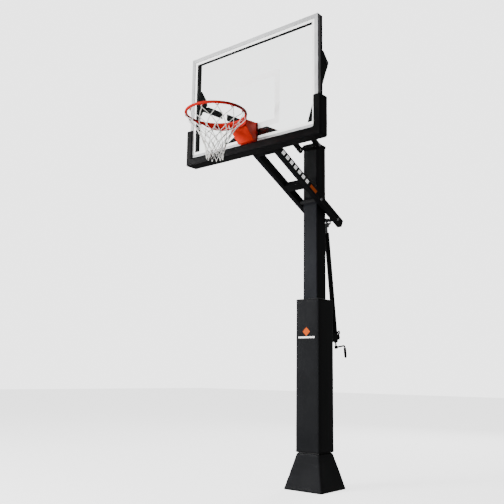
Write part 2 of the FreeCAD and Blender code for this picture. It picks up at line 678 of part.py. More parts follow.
def rim_cover():
    """The folded sheet-metal box round the hinge and springs, open at the back and over the flange."""
    def block(inset):
        outline = [(COVER_REAR, 2904 + inset), (-1024 + inset * 0.4, 2904 + inset),
                   (-1128 + inset, 3002 + inset * 0.4), (-1128 + inset, 3056 - inset),
                   (COVER_REAR, 3066 - inset)]
        return side_prism(outline, -COVER_HALF + inset, COVER_HALF - inset)
    top = RING_Z - RING_ROD_RADIUS
    gap = 0.2
    half = COVER_HALF - COVER_SHEET
    notch = box(-half, half, -1140, -1120, top - FLANGE_SHEET - gap, top + gap)
    return block(0.0).cut(block(COVER_SHEET)).cut(notch)


def net_hooks():
    radius, wire = 11.0, 3.2
    hooks = []
    for k in range(HOOK_COUNT):
        turn = 360.0 / HOOK_COUNT * (k + 0.5)
        loop = Part.makeTorus(radius, wire, V(0, 0, 0), V(1, 0, 0))
        loop = loop.common(box(-wire * 2, wire * 2, -radius * 2, radius * 2, -radius * 2, 0))
        loop.translate(V(RING_RADIUS - HOOK_INSET, 0, -RING_ROD_RADIUS))
        loop.rotate(V(0, 0, 0), V(0, 0, 1), turn)
        loop.translate(V(0, RING_CENTRE_Y, RING_Z))
        hooks.append(loop)
    return group(hooks)


def net():
    """The hanging net as a plain thin sleeve, narrow at the bottom."""
    thick = 3.0
    profile = [(229, 3012), (192, 2960), (144, 2895), (109, 2835), (86, 2770), (70, 2700), (66, 2655)]
    outline = [V(r, 0, z) for r, z in profile] + [V(r - thick, 0, z) for r, z in reversed(profile)]
    face = Part.Face(Part.makePolygon(outline + [outline[0]]))
    sleeve = face.revolve(V(0, 0, 0), V(0, 0, 1), 360)
    sleeve.translate(V(0, RING_CENTRE_Y, 0))
    return sleeve


# Actuator and crank ------------------------------------------------------------------------------------

TUBE_RADIUS = 24.0
TUBE_BORE = 20.0
TUBE_BOTTOM = -45.0
TUBE_TOP = 1000.0
ROD_RADIUS = 14.0
ROD_BORE = 9.5
ROD_BOTTOM = 355.0
NUT_LENGTH = 30.0
SCREW_RADIUS = 8.0
SCREW_TOP = 1040.0
HEAD_LOW = -62.0
SLOT_LOW = -16.5
SLOT_HIGH = 11.0
SLOT_FRONT = -10.0
SLOT_BACK = 46.0
CRANK_REACH = 156.0
CRANK_LEVEL = -96.0
CRANK_ROD_RADIUS = 8.0
CRANK_BEND = 18.0
CRANK_HUB = 14.0
GRIP_TOP = -116.0
GRIP_LONG = 92.0
GRIP_RADIUS = 13.5
AXLE_RADIUS = 5.0


def actuator_tube():
    body = post(TUBE_RADIUS, TUBE_BOTTOM, TUBE_TOP).fuse(trunnions() + [lock_eye()]).removeSplitter()
    return body.cut(post(TUBE_BORE, TUBE_BOTTOM, TUBE_TOP))


def trunnions():
    """Stub shafts on both sides of the tube, which turn in the bracket on the pole."""
    stub = rod(BOLT_RADIUS, 0, TRUNNION_END + 3, 0, 0)
    return [stub, mirrored(stub)]


def tube_guide():
    return post(TUBE_BORE, TUBE_TOP - 50, TUBE_TOP).cut(post(ROD_RADIUS + FIT, TUBE_TOP - 50, TUBE_TOP))


def screw_bearing():
    return post(TUBE_BORE, TUBE_BOTTOM, -18).cut(post(SCREW_RADIUS + FIT, TUBE_BOTTOM, -18))


def lock_eye():
    """A round eye behind the foot of the tube, where the crank can be locked."""
    z, y, radius = 38.0, 70.0, 19.0
    bar = box(-4, 4, 0, y, z - 9, z + 9)
    eye = bar.fuse(rod(radius, -4, 4, y, z)).removeSplitter()
    return eye.cut(rod(9.0, -4, 4, y, z))


def actuator_rod():
    low, high = ROD_BOTTOM, PIN_REACH + HEAD_LOW
    body = post(ROD_RADIUS, low, high).cut(post(ROD_BORE, low, high))
    return body.fuse(rod_head()).removeSplitter()


def rod_head():
    """The fork on top of the rod. Its slot leaves the arm pin room as the arms swing."""
    low = PIN_REACH + HEAD_LOW
    neck = box(-22, 22, -20, 22, low, low + 16)
    outline = [(-20, low + 16), (22, low + 16), (60, PIN_REACH - 24), (60, PIN_REACH + 24),
               (-24, PIN_REACH + 24), (-24, PIN_REACH - 20)]
    plates = [side_prism(outline, x0, x0 + 8) for x0 in (-22, 14)]
    head = neck.fuse(plates).removeSplitter()
    return head.cut(box(-22, 22, SLOT_FRONT, SLOT_BACK, PIN_REACH + SLOT_LOW, PIN_REACH + SLOT_HIGH))


def drive_nut():
    return post(ROD_RADIUS, ROD_BOTTOM - NUT_LENGTH, ROD_BOTTOM).cut(
        post(SCREW_RADIUS + FIT, ROD_BOTTOM - NUT_LENGTH, ROD_BOTTOM))


def drive_screw():
    collar = post(15, TUBE_BOTTOM - 7, TUBE_BOTTOM - 1)
    return post(SCREW_RADIUS, CRANK_LEVEL - CRANK_HUB, SCREW_TOP).fuse(collar).removeSplitter()


def crank_arm():
    """A round bar bent down at its end, where it becomes the axle of the grip, with a hub on the screw."""
    length = CRANK_REACH - CRANK_BEND
    straight = Part.makeCylinder(CRANK_ROD_RADIUS, length, V(0, 0, CRANK_LEVEL), V(0, 1, 0))
    end = V(0, length, CRANK_LEVEL)
    round_face = Part.Face(Part.Wire(Part.makeCircle(CRANK_ROD_RADIUS, end, V(0, 1, 0))))
    elbow = round_face.revolve(end - V(0, 0, CRANK_BEND), V(1, 0, 0), -90)
    hub = post(15, CRANK_LEVEL - CRANK_HUB, CRANK_LEVEL + CRANK_HUB)
    foot = GRIP_TOP - GRIP_LONG
    axle = post(AXLE_RADIUS, foot - 8, CRANK_LEVEL - CRANK_BEND, 0, CRANK_REACH)
    stop = post(8, foot - 8, foot - 2, 0, CRANK_REACH)
    arm = hub.fuse([straight, elbow, axle, stop]).removeSplitter()
    return arm.cut(post(SCREW_RADIUS, CRANK_LEVEL - CRANK_HUB, CRANK_LEVEL + CRANK_HUB))


def crank_grip():
    low, high = GRIP_TOP - GRIP_LONG, GRIP_TOP
    body = post(GRIP_RADIUS, low, high, 0, CRANK_REACH)
    body = body.makeFillet(4.0, [e for e in body.Edges if isinstance(e.Curve, Part.Circle)])
    return body.cut(post(AXLE_RADIUS + FIT, low, high, 0, CRANK_REACH))


# Writing the sub-parts ---------------------------------------------------------------------------------

CROSS_FRONT_Y = -ARM_LENGTH + 60.0
CROSS_MID_Y = -280.0


def nodes():
    lower = lambda shape: on_arm(shape, LOWER_PIVOT_Z)
    upper = lambda shape: on_arm(shape, UPPER_PIVOT_Z)
    parts = {
        "base_plate": base_plate(),
        "pole": pole(),
        "pole_cap": pole_cap(),
        "foot_cover": foot_cover(),
        "pole_pad": pole_pad(),
        "pad_straps": pad_straps(),
        "lower_pivot_sleeve": pivot_sleeve(LOWER_PIVOT_Z),
        "upper_pivot_sleeve": pivot_sleeve(UPPER_PIVOT_Z),
        "pole_pivot_bolts": group([through_bolt(ARM_INNER + ARM_WIDTH + 2, POLE_PIVOT_Y, LOWER_PIVOT_Z),
                                   through_bolt(FORK_INNER + FORK_WIDTH + 2, POLE_PIVOT_Y, UPPER_PIVOT_Z)]),
        "actuator_bracket": actuator_bracket(),
        "lift_stop": lift_stop(),
        "lower_arm_right": lower(lower_arm()),
        "lower_arm_left": lower(mirrored(lower_arm())),
        "arm_cross_front": lower(arm_cross(CROSS_FRONT_Y)),
        "arm_cross_mid": lower(arm_cross(CROSS_MID_Y)),
        "arm_end_caps": lower(arm_end_caps()),
        "lower_arm_bushes": lower(lower_bushes()),
        "actuator_pin": lower(actuator_pin()),
        "upper_fork": upper(upper_fork()),
        "upper_arm_bushes": upper(group(fork_bushes() + strut_bushes())),
        "strut_right": upper(strut()),
        "strut_left": upper(mirrored(strut())),
        "glass_panel": glass_panel(),
        "glass_gasket": glass_gasket(),
        "rim_backing": rim_backing(),
        "glass_spacers": group([backing_spacer(), mount_spacer()]),
        "lower_brackets": lower_brackets(),
        "board_pivot_sleeve": board_pivot_sleeve(),
        "side_bracket_right": side_bracket(),
        "side_bracket_left": mirrored(side_bracket()),
        "board_pivot_bolts": board_pivot_bolts(),
        "board_pad_bottom": board_pad_bottom(),
        "board_pad_right": board_pad_leg(),
        "board_pad_left": mirrored(board_pad_leg()),
        "rim_mount": rim_mount(),
        "rim_bolts": rim_bolts(),
        "rim_hinge_pin": hinge_pin(),
        "spring_bolts": spring_bolts(),
        "rim_carrier": rim_carrier(),
        "rim_springs": rim_springs(),
        "rim_ring": rim_ring(),
        "rim_cover": rim_cover(),
        "net_hooks": net_hooks(),
        "net": net(),
    }
    for side in ("top", "bottom", "left", "right"):
        parts["board_frame_" + side] = board_frame(side)
        parts["rear_frame_" + side] = rear_frame(side)
    for name, shape in (("actuator_tube", actuator_tube()), ("tube_guide", tube_guide()),
                        ("screw_bearing", screw_bearing()), ("actuator_rod", actuator_rod()),
                        ("drive_nut", drive_nut()), ("drive_screw", drive_screw()),
                        ("crank_arm", crank_arm()), ("crank_grip", crank_grip())):
        parts[name] = on_actuator(shape)
    return parts


os.makedirs("parts", exist_ok=True)
for node, shape in nodes().items():
    shape.exportStep("parts/" + node + ".step")
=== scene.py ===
"""Looks of the crank-lift basketball hoop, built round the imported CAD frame. Metres.

Every piece is made in the frame of the row: the court side is -Y and +Z is up.
"""

import bpy
import bmesh
import json
import math
from mathutils import Matrix, Vector, noise
from mathutils.bvhtree import BVHTree


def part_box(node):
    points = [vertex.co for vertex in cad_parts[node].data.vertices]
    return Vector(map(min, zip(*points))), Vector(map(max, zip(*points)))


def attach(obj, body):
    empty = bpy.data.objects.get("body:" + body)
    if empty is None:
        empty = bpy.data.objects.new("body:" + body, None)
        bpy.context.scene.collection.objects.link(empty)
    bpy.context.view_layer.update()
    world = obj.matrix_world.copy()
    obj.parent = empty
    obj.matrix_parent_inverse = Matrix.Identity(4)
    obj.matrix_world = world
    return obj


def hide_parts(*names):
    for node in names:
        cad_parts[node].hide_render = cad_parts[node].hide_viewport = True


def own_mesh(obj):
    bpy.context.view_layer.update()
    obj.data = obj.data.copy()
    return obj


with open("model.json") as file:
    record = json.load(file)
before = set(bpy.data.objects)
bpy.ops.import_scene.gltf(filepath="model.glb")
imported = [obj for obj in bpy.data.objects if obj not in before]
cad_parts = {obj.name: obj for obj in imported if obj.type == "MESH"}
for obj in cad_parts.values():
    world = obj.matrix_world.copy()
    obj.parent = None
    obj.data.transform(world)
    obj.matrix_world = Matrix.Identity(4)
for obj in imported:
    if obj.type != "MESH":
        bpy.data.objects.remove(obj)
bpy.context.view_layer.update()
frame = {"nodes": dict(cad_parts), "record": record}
record = frame["record"]
BODY = {node: body for body, nodes in record["behaviour"]["bodies"].items() for node in nodes}
SLOT_OF = {part["node"]: part["material_slot"] for part in record["subparts"]}

FULL_TURN = 2 * math.pi
UP = Vector((0, 0, 1))

PIVOT_LOWER = Vector((0, -0.095, 2.585))
ARM_SLOPE = math.atan2(0.363, 0.760)
ACTUATOR_FOOT = Vector((0, 0.348, 1.345))
ACTUATOR_LEAN = math.radians(8.1387)
CRANK_REACH = 0.156


# Camera and light --------------------------------------------------------------------------------------

CAMERA_PLACE = (3.4997, -5.1617, 0.9834)
CAMERA_YAW, CAMERA_PITCH, CAMERA_ROLL = 0.6897, 0.1794, 0.0154
CAMERA_LENS, CAMERA_SENSOR = 48.22, 36.0

ROOM_LIGHT = 0.08
ROOM_SEEN = 3.2
FLOOR_GLOW = 2.4
FLOOR_HALF = 30.0
FLOOR_DROP = 0.0005

# Name, place, point it is aimed at, diameter, power, and whether shiny surfaces show it.
AREA_LIGHTS = (
    ("key", (-3.6, -6.5, 6.0), (0, -0.5, 2.4), 3.0, 640, False),
    ("fill", (-1.6, -6.6, 0.6), (0, -0.6, 2.6), 1.8, 620, False),
    ("rim_light", (-6.5, -4.0, 4.4), (0, -0.9, 2.8), 1.2, 70, True),
    ("back", (-1.0, 6.5, 4.5), (0, 0, 2.2), 3.0, 300, False),
)


def camera():
    right = Vector((math.cos(CAMERA_YAW), math.sin(CAMERA_YAW), 0))
    ahead = Vector((-math.sin(CAMERA_YAW) * math.cos(CAMERA_PITCH),
                    math.cos(CAMERA_YAW) * math.cos(CAMERA_PITCH), math.sin(CAMERA_PITCH)))
    up = right.cross(ahead)
    side = right * math.cos(CAMERA_ROLL) + up * math.sin(CAMERA_ROLL)
    top = up * math.cos(CAMERA_ROLL) - right * math.sin(CAMERA_ROLL)
    data = bpy.data.cameras.new("camera")
    data.lens, data.sensor_width, data.sensor_fit = CAMERA_LENS, CAMERA_SENSOR, "HORIZONTAL"
    obj = bpy.data.objects.new("camera", data)
    turn = Matrix((side, top, -ahead)).transposed().to_4x4()
    obj.matrix_world = Matrix.Translation(CAMERA_PLACE) @ turn
    bpy.context.collection.objects.link(obj)
    bpy.context.scene.camera = obj


def area_lights():
    """A soft key and fill from the court, a strip of shine on the rim, and a little light from behind."""
    for name, place, target, size, power, shown in AREA_LIGHTS:
        data = bpy.data.lights.new(name, "AREA")
        data.shape, data.size, data.energy = "DISK", size, power
        obj = bpy.data.objects.new(name, data)
        turn = (Vector(target) - Vector(place)).to_track_quat("-Z", "Y").to_matrix().to_4x4()
        obj.matrix_world = Matrix.Translation(place) @ turn
        obj.visible_glossy = obj.visible_transmission = shown
        bpy.context.collection.objects.link(obj)


def room():
    """A white room that the camera sees brighter than it lights, also straight through the glass."""
    world = bpy.data.worlds.new("studio")
    bpy.context.scene.world = world
    world.use_nodes = True
    tree = world.node_tree
    background = tree.nodes["Background"]
    path = tree.nodes.new("ShaderNodeLightPath")

    def math_node(operation, first, second):
        node = tree.nodes.new("ShaderNodeMath")
        node.operation, node.use_clamp = operation, True
        for socket, value in zip(node.inputs, (first, second)):
            if isinstance(value, float):
                socket.default_value = value
            else:
                tree.links.new(value, socket)
        return node.outputs[0]

    bounced = math_node("ADD", path.outputs["Diffuse Depth"], path.outputs["Glossy Depth"])
    straight = math_node("SUBTRACT", 1.0, bounced)
    through_glass = math_node("MULTIPLY", path.outputs["Is Transmission Ray"], straight)
    seen = math_node("ADD", path.outputs["Is Camera Ray"], through_glass)
    level = tree.nodes.new("ShaderNodeMapRange")
    level.inputs["To Min"].default_value = ROOM_LIGHT
    level.inputs["To Max"].default_value = ROOM_SEEN
    tree.links.new(seen, level.inputs["Value"])
    tree.links.new(level.outputs[0], background.inputs["Strength"])
    background.inputs["Color"].default_value = (1, 1, 1, 1)


# Materials ---------------------------------------------------------------------------------------------

# Sockets of the Mix node when it mixes colours. Their names are shared with its other types.
MIX_SHARE, MIX_FIRST, MIX_SECOND, MIX_RESULT = 0, 6, 7, 2

# Heights over which the pole's paint turns into painted shade above the lower pivot.
PAINTED_SHADE_EDGE = (2.583, 2.587)


class Surface:
    """A material with one Principled shader, built node by node."""

    def __init__(self, name):
        self.mat = bpy.data.materials.new(name)
        self.mat.use_nodes = True
        self.tree = self.mat.node_tree
        self.tree.nodes.clear()
        self.shader = self.add("ShaderNodeBsdfPrincipled")
        out = self.add("ShaderNodeOutputMaterial")
        self.link(self.shader, 0, out, "Surface")
        self.place = self.add("ShaderNodeTexCoord")

    def add(self, kind, **values):
        node = self.tree.nodes.new(kind)
        for key, value in values.items():
            setattr(node, key, value)
        return node

    def link(self, source, output, target, socket):
        self.tree.links.new(source.outputs[output], target.inputs[socket])

    def set(self, **values):
        for key, value in values.items():
            self.shader.inputs[key.replace("_", " ")].default_value = value

    def stretched(self, factors):
        mapping = self.add("ShaderNodeMapping")
        self.link(self.place, "Object", mapping, "Vector")
        mapping.inputs["Scale"].default_value = factors
        return mapping

    def noise(self, scale, detail=4.0, rough=0.55, factors=(1, 1, 1)):
        tex = self.add("ShaderNodeTexNoise")
        self.link(self.stretched(factors), "Vector", tex, "Vector")
        tex.inputs["Scale"].default_value = scale
        tex.inputs["Detail"].default_value = detail
        tex.inputs["Roughness"].default_value = rough
        return tex

    def cells(self, scale):
        tex = self.add("ShaderNodeTexVoronoi")
        self.link(self.stretched((1, 1, 1)), "Vector", tex, "Vector")
        tex.inputs["Scale"].default_value = scale
        return tex

    def ramp(self, source, low, high, first, last):
        node = self.add("ShaderNodeValToRGB")
        self.link(source, "Fac", node, "Fac")
        node.color_ramp.elements[0].position = low
        node.color_ramp.elements[1].position = high
        node.color_ramp.elements[0].color = (*first, 1)
        node.color_ramp.elements[1].color = (*last, 1)
        return node

    def range(self, source, low, high, low_in=0.3, high_in=0.7, output="Fac"):
        node = self.add("ShaderNodeMapRange")
        self.link(source, output, node, "Value")
        node.inputs["From Min"].default_value = low_in
        node.inputs["From Max"].default_value = high_in
        node.inputs["To Min"].default_value = low
        node.inputs["To Max"].default_value = high
        return node

    def colour(self, source):
        self.link(source, 0, self.shader, "Base Color")

    def two_colours(self, share, first, second):
        """A base colour that goes from the first ramp to the second one."""
        node = self.add("ShaderNodeMix", data_type="RGBA", blend_type="MIX")
        self.link(share, 0, node, MIX_SHARE)
        self.link(first, 0, node, MIX_FIRST)
        self.link(second, 0, node, MIX_SECOND)
        self.link(node, MIX_RESULT, self.shader, "Base Color")

    def roughness(self, source, low, high, low_in=0.3, high_in=0.7):
        self.link(self.range(source, low, high, low_in, high_in), 0, self.shader, "Roughness")

    def bump(self, source, output, strength, distance, before=None):
        node = self.add("ShaderNodeBump")
        self.link(source, output, node, "Height")
        node.inputs["Strength"].default_value = strength
        node.inputs["Distance"].default_value = distance
        if before:
            self.link(before, 0, node, "Normal")
        self.link(node, 0, self.shader, "Normal")
        return node


def coated(name, colour, worn, rough, grain=420.0, relief=0.25, scuff=0.0, shine=0.5):
    """Paint, plastic, rubber or foam skin: mottled colour, uneven gloss, a fine relief and a few scuffs."""
    s = Surface(name)
    s.set(Specular_IOR_Level=shine)
    broad = s.noise(4.5, 6)
    mottled = s.ramp(broad, 0.35, 0.7, colour, worn)
    fine = s.noise(grain, 3)
    if scuff:
        marks = s.noise(38, 9, 0.72, (1.0, 1.0, 0.35))
        share = s.range(marks, 0.0, scuff, 0.62, 0.74)
        lighter = tuple(min(1.0, 1.5 * c + 0.004) for c in worn)
        s.two_colours(share, mottled, s.ramp(fine, 0.2, 0.8, worn, lighter))
    else:
        s.colour(mottled)
    s.roughness(broad, rough - 0.06, rough + 0.1)
    s.bump(fine, "Fac", relief, 0.0006)
    return s.mat


def shaded_pole_paint():
    """The pole: powder coat, with painted shade above the lower pivot, where the arms and the board shade it.
    """
    s = Surface("pole_paint_painted_shade")
    split = s.add("ShaderNodeSeparateXYZ")
    s.link(s.place, "Object", split, 0)
    broad = s.noise(5.0, 7, 0.6, (1, 1, 0.35))
    # The lower ramp is the pole's own paint; the upper one is that paint darkened as painted shade from the
    # arms and the board.
    low = s.ramp(broad, 0.35, 0.7, (0.0125, 0.0135, 0.0165), (0.0195, 0.0205, 0.0235))
    high = s.ramp(broad, 0.35, 0.7, (0.0055, 0.0058, 0.0065), (0.009, 0.0095, 0.0105))
    s.two_colours(s.range(split, 0.0, 1.0, *PAINTED_SHADE_EDGE, output="Z"), low, high)
    s.roughness(broad, 0.36, 0.52)
    s.bump(s.noise(380, 3), "Fac", 0.22, 0.0006)
    return s.mat


def vinyl():
    """Vinyl-coated cloth over foam: leather grain over soft ripples, with dusty scratches."""
    s = Surface("vinyl_black")
    s.set(Sheen_Weight=0.12, Sheen_Roughness=0.5, Coat_Weight=0.08, Coat_Roughness=0.35)
    broad = s.noise(3.2, 6, 0.6)
    skin = s.ramp(broad, 0.32, 0.72, (0.0085, 0.009, 0.0102), (0.0135, 0.014, 0.0155))
    scratch = s.noise(60, 8, 0.75, (1, 1, 0.2))
    dust = s.ramp(scratch, 0.3, 0.9, (0.03, 0.029, 0.0275), (0.05, 0.049, 0.047))
    s.two_colours(s.range(scratch, 0.0, 0.5, 0.6, 0.8), skin, dust)
    s.roughness(broad, 0.36, 0.5)
    ripples = s.bump(s.noise(16, 4, 0.5, (1, 1, 0.6)), "Fac", 0.22, 0.004)
    s.bump(s.cells(620), "Distance", 0.35, 0.0008, before=ripples)
    return s.mat


def metal_plate(name, colour, rough, spangle=0.0, brushed=(1, 1, 1), metal=0.75):
    """Plated, cast or anodised metal, mottled and finely scratched, with spangle where it is galvanised."""
    s = Surface(name)
    s.set(Metallic=metal)
    broad = s.noise(9, 5)
    dull = tuple(c * 0.72 for c in colour)
    s.colour(s.ramp(broad, 0.3, 0.75, dull, colour))
    s.roughness(broad, rough - 0.05, rough + 0.12)
    scratches = s.bump(s.noise(500, 3, 0.6, brushed), "Fac", 0.2, 0.0004)
    if spangle:
        s.bump(s.cells(90), "Distance", spangle, 0.0006, before=scratches)
    return s.mat


def glass():
    """Tempered glass with a faint green body, dust and water marks."""
    s = Surface("clear_glass")
    s.set(Transmission_Weight=1.0, IOR=1.48)
    cloud = s.noise(7, 8, 0.6)
    s.colour(s.ramp(cloud, 0.3, 0.8, (0.955, 0.975, 0.968), (0.93, 0.955, 0.948)))
    s.roughness(cloud, 0.0, 0.06, 0.4, 0.8)
    s.bump(s.noise(3.0, 2), "Fac", 0.02, 0.002)
    return s.mat


def braided(name, colour, worn, scale, factors=(1, 1, 1)):
    """Twisted or woven yarn in slanting bands, soiled in places."""
    s = Surface(name)
    s.set(Sheen_Weight=0.3)
    wave = s.add("ShaderNodeTexWave", bands_direction="DIAGONAL")
    s.link(s.stretched(factors), "Vector", wave, "Vector")
    wave.inputs["Scale"].default_value = scale
    wave.inputs["Distortion"].default_value = 1.2
    wave.inputs["Detail"].default_value = 2.0
    fuzz = s.noise(900, 3)
    soiled = s.noise(12, 5)
    yarn = s.ramp(wave, 0.1, 0.9, worn, colour)
    dirty = s.ramp(fuzz, 0.2, 0.8, tuple(0.8 * c for c in worn), worn)
    s.two_colours(s.range(soiled, 0.0, 0.6, 0.5, 0.8), yarn, dirty)
    s.roughness(fuzz, 0.62, 0.86)
    s.bump(wave, "Fac", 0.6, 0.0008)
    return s.mat


def glowing_mark(name, colour, worn, glow):
    """A thin printed or painted mark, unevenly pigmented, with a painted glow so that it stays bright in
    shade.
    """
    s = Surface(name)
    # The emission is painted light: the mark glows though it is no lamp.
    s.set(Emission_Color=(*colour, 1), Emission_Strength=glow)
    spots = s.noise(45, 8, 0.7)
    s.colour(s.ramp(spots, 0.42, 0.78, colour, worn))
    s.roughness(spots, 0.38, 0.6)
    s.bump(s.noise(700, 2), "Fac", 0.15, 0.0003)
    return s.mat


def floor_material():
    s = Surface("pale_floor")
    broad = s.noise(0.6, 4)
    s.colour(s.ramp(broad, 0.3, 0.7, (0.9, 0.9, 0.9), (0.94, 0.94, 0.94)))
    s.roughness(broad, 0.8, 0.95)
    s.bump(s.noise(60, 3), "Fac", 0.05, 0.001)
    s.set(Emission_Color=(1, 1, 1, 1), Emission_Strength=FLOOR_GLOW)
    return s.mat


MATERIAL = {
    "black_steel": coated("powder_coat_black", (0.0048, 0.005, 0.0056), (0.0085, 0.009, 0.0098), 0.4,
                          scuff=0.12),
    "pole_paint": shaded_pole_paint(),
    "black_plastic": coated("plastic_black", (0.007, 0.007, 0.0075), (0.012, 0.012, 0.013), 0.55,
                            grain=700, relief=0.35, scuff=0.2),
    "pad_vinyl": vinyl(),
    "moulded_foam": coated("foam_skin_black", (0.0028, 0.0028, 0.003), (0.0045, 0.0045, 0.0048), 0.4,
                           grain=650, relief=0.4, scuff=0.08),
    "zinc_steel": metal_plate("zinc_plate", (0.78, 0.79, 0.8), 0.28, spangle=0.12),
    "bush_nylon": coated("nylon_natural", (0.78, 0.77, 0.72), (0.66, 0.64, 0.58), 0.5),
    "bronze": metal_plate("bronze_sintered", (0.72, 0.5, 0.28), 0.38),
    "tempered_glass": glass(),
    "black_rubber": coated("rubber_black", (0.006, 0.006, 0.006), (0.011, 0.011, 0.0105), 0.72,
                           grain=900, relief=0.4),
    "silver_aluminium": metal_plate("aluminium_anodised", (0.8, 0.81, 0.82), 0.4,
                                    brushed=(1, 1, 0.04), metal=0.2),
    "rim_red": coated("rim_paint_red", (0.56, 0.014, 0.009), (0.42, 0.01, 0.007), 0.4,
                      scuff=0.2, shine=0.3),
    "cover_red": coated("cover_paint_red", (0.86, 0.036, 0.012), (0.7, 0.028, 0.009), 0.42,
                        scuff=0.15, shine=0.3),
    "net_cord": braided("cord_white", (0.93, 0.93, 0.9), (0.74, 0.73, 0.69), 160),
    "webbing": braided("webbing_black", (0.03, 0.03, 0.032), (0.016, 0.016, 0.017), 120, (1, 1, 3)),
    # The white and orange marks carry a painted glow that keeps them bright in shade.
    "white_paint": glowing_mark("paint_white_glowing", (0.93, 0.93, 0.92), (0.84, 0.84, 0.83), 0.8),
    "accent_orange": glowing_mark("paint_orange_glowing", (0.62, 0.1, 0.012), (0.5, 0.075, 0.01), 0.22),
    "dark_zinc": metal_plate("zinc_plate_dulled", (0.11, 0.11, 0.115), 0.34, spangle=0.1),
    "thread": braided("thread_grey", (0.1, 0.1, 0.105), (0.06, 0.06, 0.065), 300),
}


# Mesh helpers ------------------------------------------------------------------------------------------

def object_from(bm, name, material):
    mesh = bpy.data.meshes.new(name)
    bm.to_mesh(mesh)
    bm.free()
    mesh.materials.append(material)
    obj = bpy.data.objects.new(name, mesh)
    bpy.context.collection.objects.link(obj)
    return obj


def settle(obj, body, stands_for=()):
    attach(obj, body)
    if stands_for:
        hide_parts(*stands_for)
    return obj


def publish(bm, name, body, look, stands_for=(), smooth_angle=32):
    """Turns a bmesh into a finished piece that rides on a body."""
    bmesh.ops.recalc_face_normals(bm, faces=bm.faces)
    for face in bm.faces:
        face.smooth = True
    for edge in bm.edges:
        edge.smooth = len(edge.link_faces) == 2 and edge.calc_face_angle(0) < math.radians(smooth_angle)
    return settle(object_from(bm, name, MATERIAL[look]), body, stands_for)


def apply_modifiers(obj):
    """Replaces the mesh of an object by what its modifiers make of it."""
    graph = bpy.context.evaluated_depsgraph_get()
    mesh = bpy.data.meshes.new_from_object(obj.evaluated_get(graph))
    obj.modifiers.clear()
    obj.data = mesh


def node_bmesh(*names):
    """The meshes of CAD nodes in one bmesh, with their facets joined up."""
    bm = bmesh.new()
    for name in names:
        bm.from_mesh(frame["nodes"][name].data)
    bmesh.ops.remove_doubles(bm, verts=bm.verts, dist=2e-6)
    return bm


def surface_of(obj):
    bm = bmesh.new()
    bm.from_mesh(obj.data)
    tree = BVHTree.FromBMesh(bm)
    bm.free()
    return tree


def around(count):
    """Evenly spaced angles of a full turn."""
    return [FULL_TURN * k / count for k in range(count)]


def bridge(bm, one, two):
    """A band of quads between two loops with the same number of points."""
    count = len(one)
    for k in range(count):
        bm.faces.new((one[k], one[(k + 1) % count], two[(k + 1) % count], two[k]))


def cap_ends(bm, first, last):
    bm.faces.new(first)
    bm.faces.new(list(reversed(last)))


def sweep(bm, points, radius, sides=10, closed=False):
    """A round tube through points, with end caps unless it is closed. The radius may be one per point."""
    count = len(points)
    radii = radius if isinstance(radius, list) else [radius] * count
    rings = []
    frame_x = None
    for i, point in enumerate(points):
        if closed:
            ahead = points[(i + 1) % count] - points[i - 1]
        else:
            ahead = points[min(i + 1, count - 1)] - points[max(i - 1, 0)]
        ahead.normalize()
        if frame_x is None:
            frame_x = ahead.orthogonal().normalized()
        frame_x = (frame_x - ahead * frame_x.dot(ahead)).normalized()
        frame_y = ahead.cross(frame_x)
        r = radii[i]
        rings.append([bm.verts.new(point + frame_x * r * math.cos(a) + frame_y * r * math.sin(a))
                      for a in around(sides)])
    if closed:
        first, last = rings[0], rings[-1]
        shift = min(range(sides), key=lambda s: (first[s].co - last[0].co).length)
        rings.append([first[(k + shift) % sides] for k in range(sides)])
    for one, two in zip(rings, rings[1:]):
        bridge(bm, one, two)
    if not closed:
        cap_ends(bm, rings[-1], rings[0])


def spline(points, steps):
    """Points of a smooth line through the given ones."""
    last = len(points) - 1
    out = []
    for i in range(last):
        a, b, c, d = (points[min(max(i + k, 0), last)] for k in (-1, 0, 1, 2))
        for s in range(steps):
            t = s / steps
            out.append(0.5 * (2 * b + (c - a) * t + (2 * a - 5 * b + 4 * c - d) * t * t
                              + (3 * b - a - 3 * c + d) * t ** 3))
    return out + [points[-1].copy()]


def slab(bm, outline, start, push, turn=Matrix()):
    """A flat outline of (x, z) points, pushed through a thickness along y, then carried by a matrix."""
    near = [bm.verts.new(turn @ Vector((x, start, z))) for x, z in outline]
    far = [bm.verts.new(turn @ Vector((x, start + push, z))) for x, z in outline]
    cap_ends(bm, near, far)
    bridge(bm, near, far)


def rounded_square(half, radius, steps=6):
    """Points round a square with rounded corners, anticlockwise from the middle of the +X side."""
    quarter, reach = math.pi / 2, (half - radius) * math.sqrt(2)
    points = []
    for side in range(4):
        base = quarter * side
        points.append((half * math.cos(base), half * math.sin(base)))
        x, y = reach * math.cos(base + quarter / 2), reach * math.sin(base + quarter / 2)
        for k in range(steps + 1):
            a = base + quarter * k / steps
            points.append((x + radius * math.cos(a), y + radius * math.sin(a)))
    return points


# Carried-over parts ------------------------------------------------------------------------------------

COPLANAR = math.radians(0.5)
SHARP = math.radians(40)

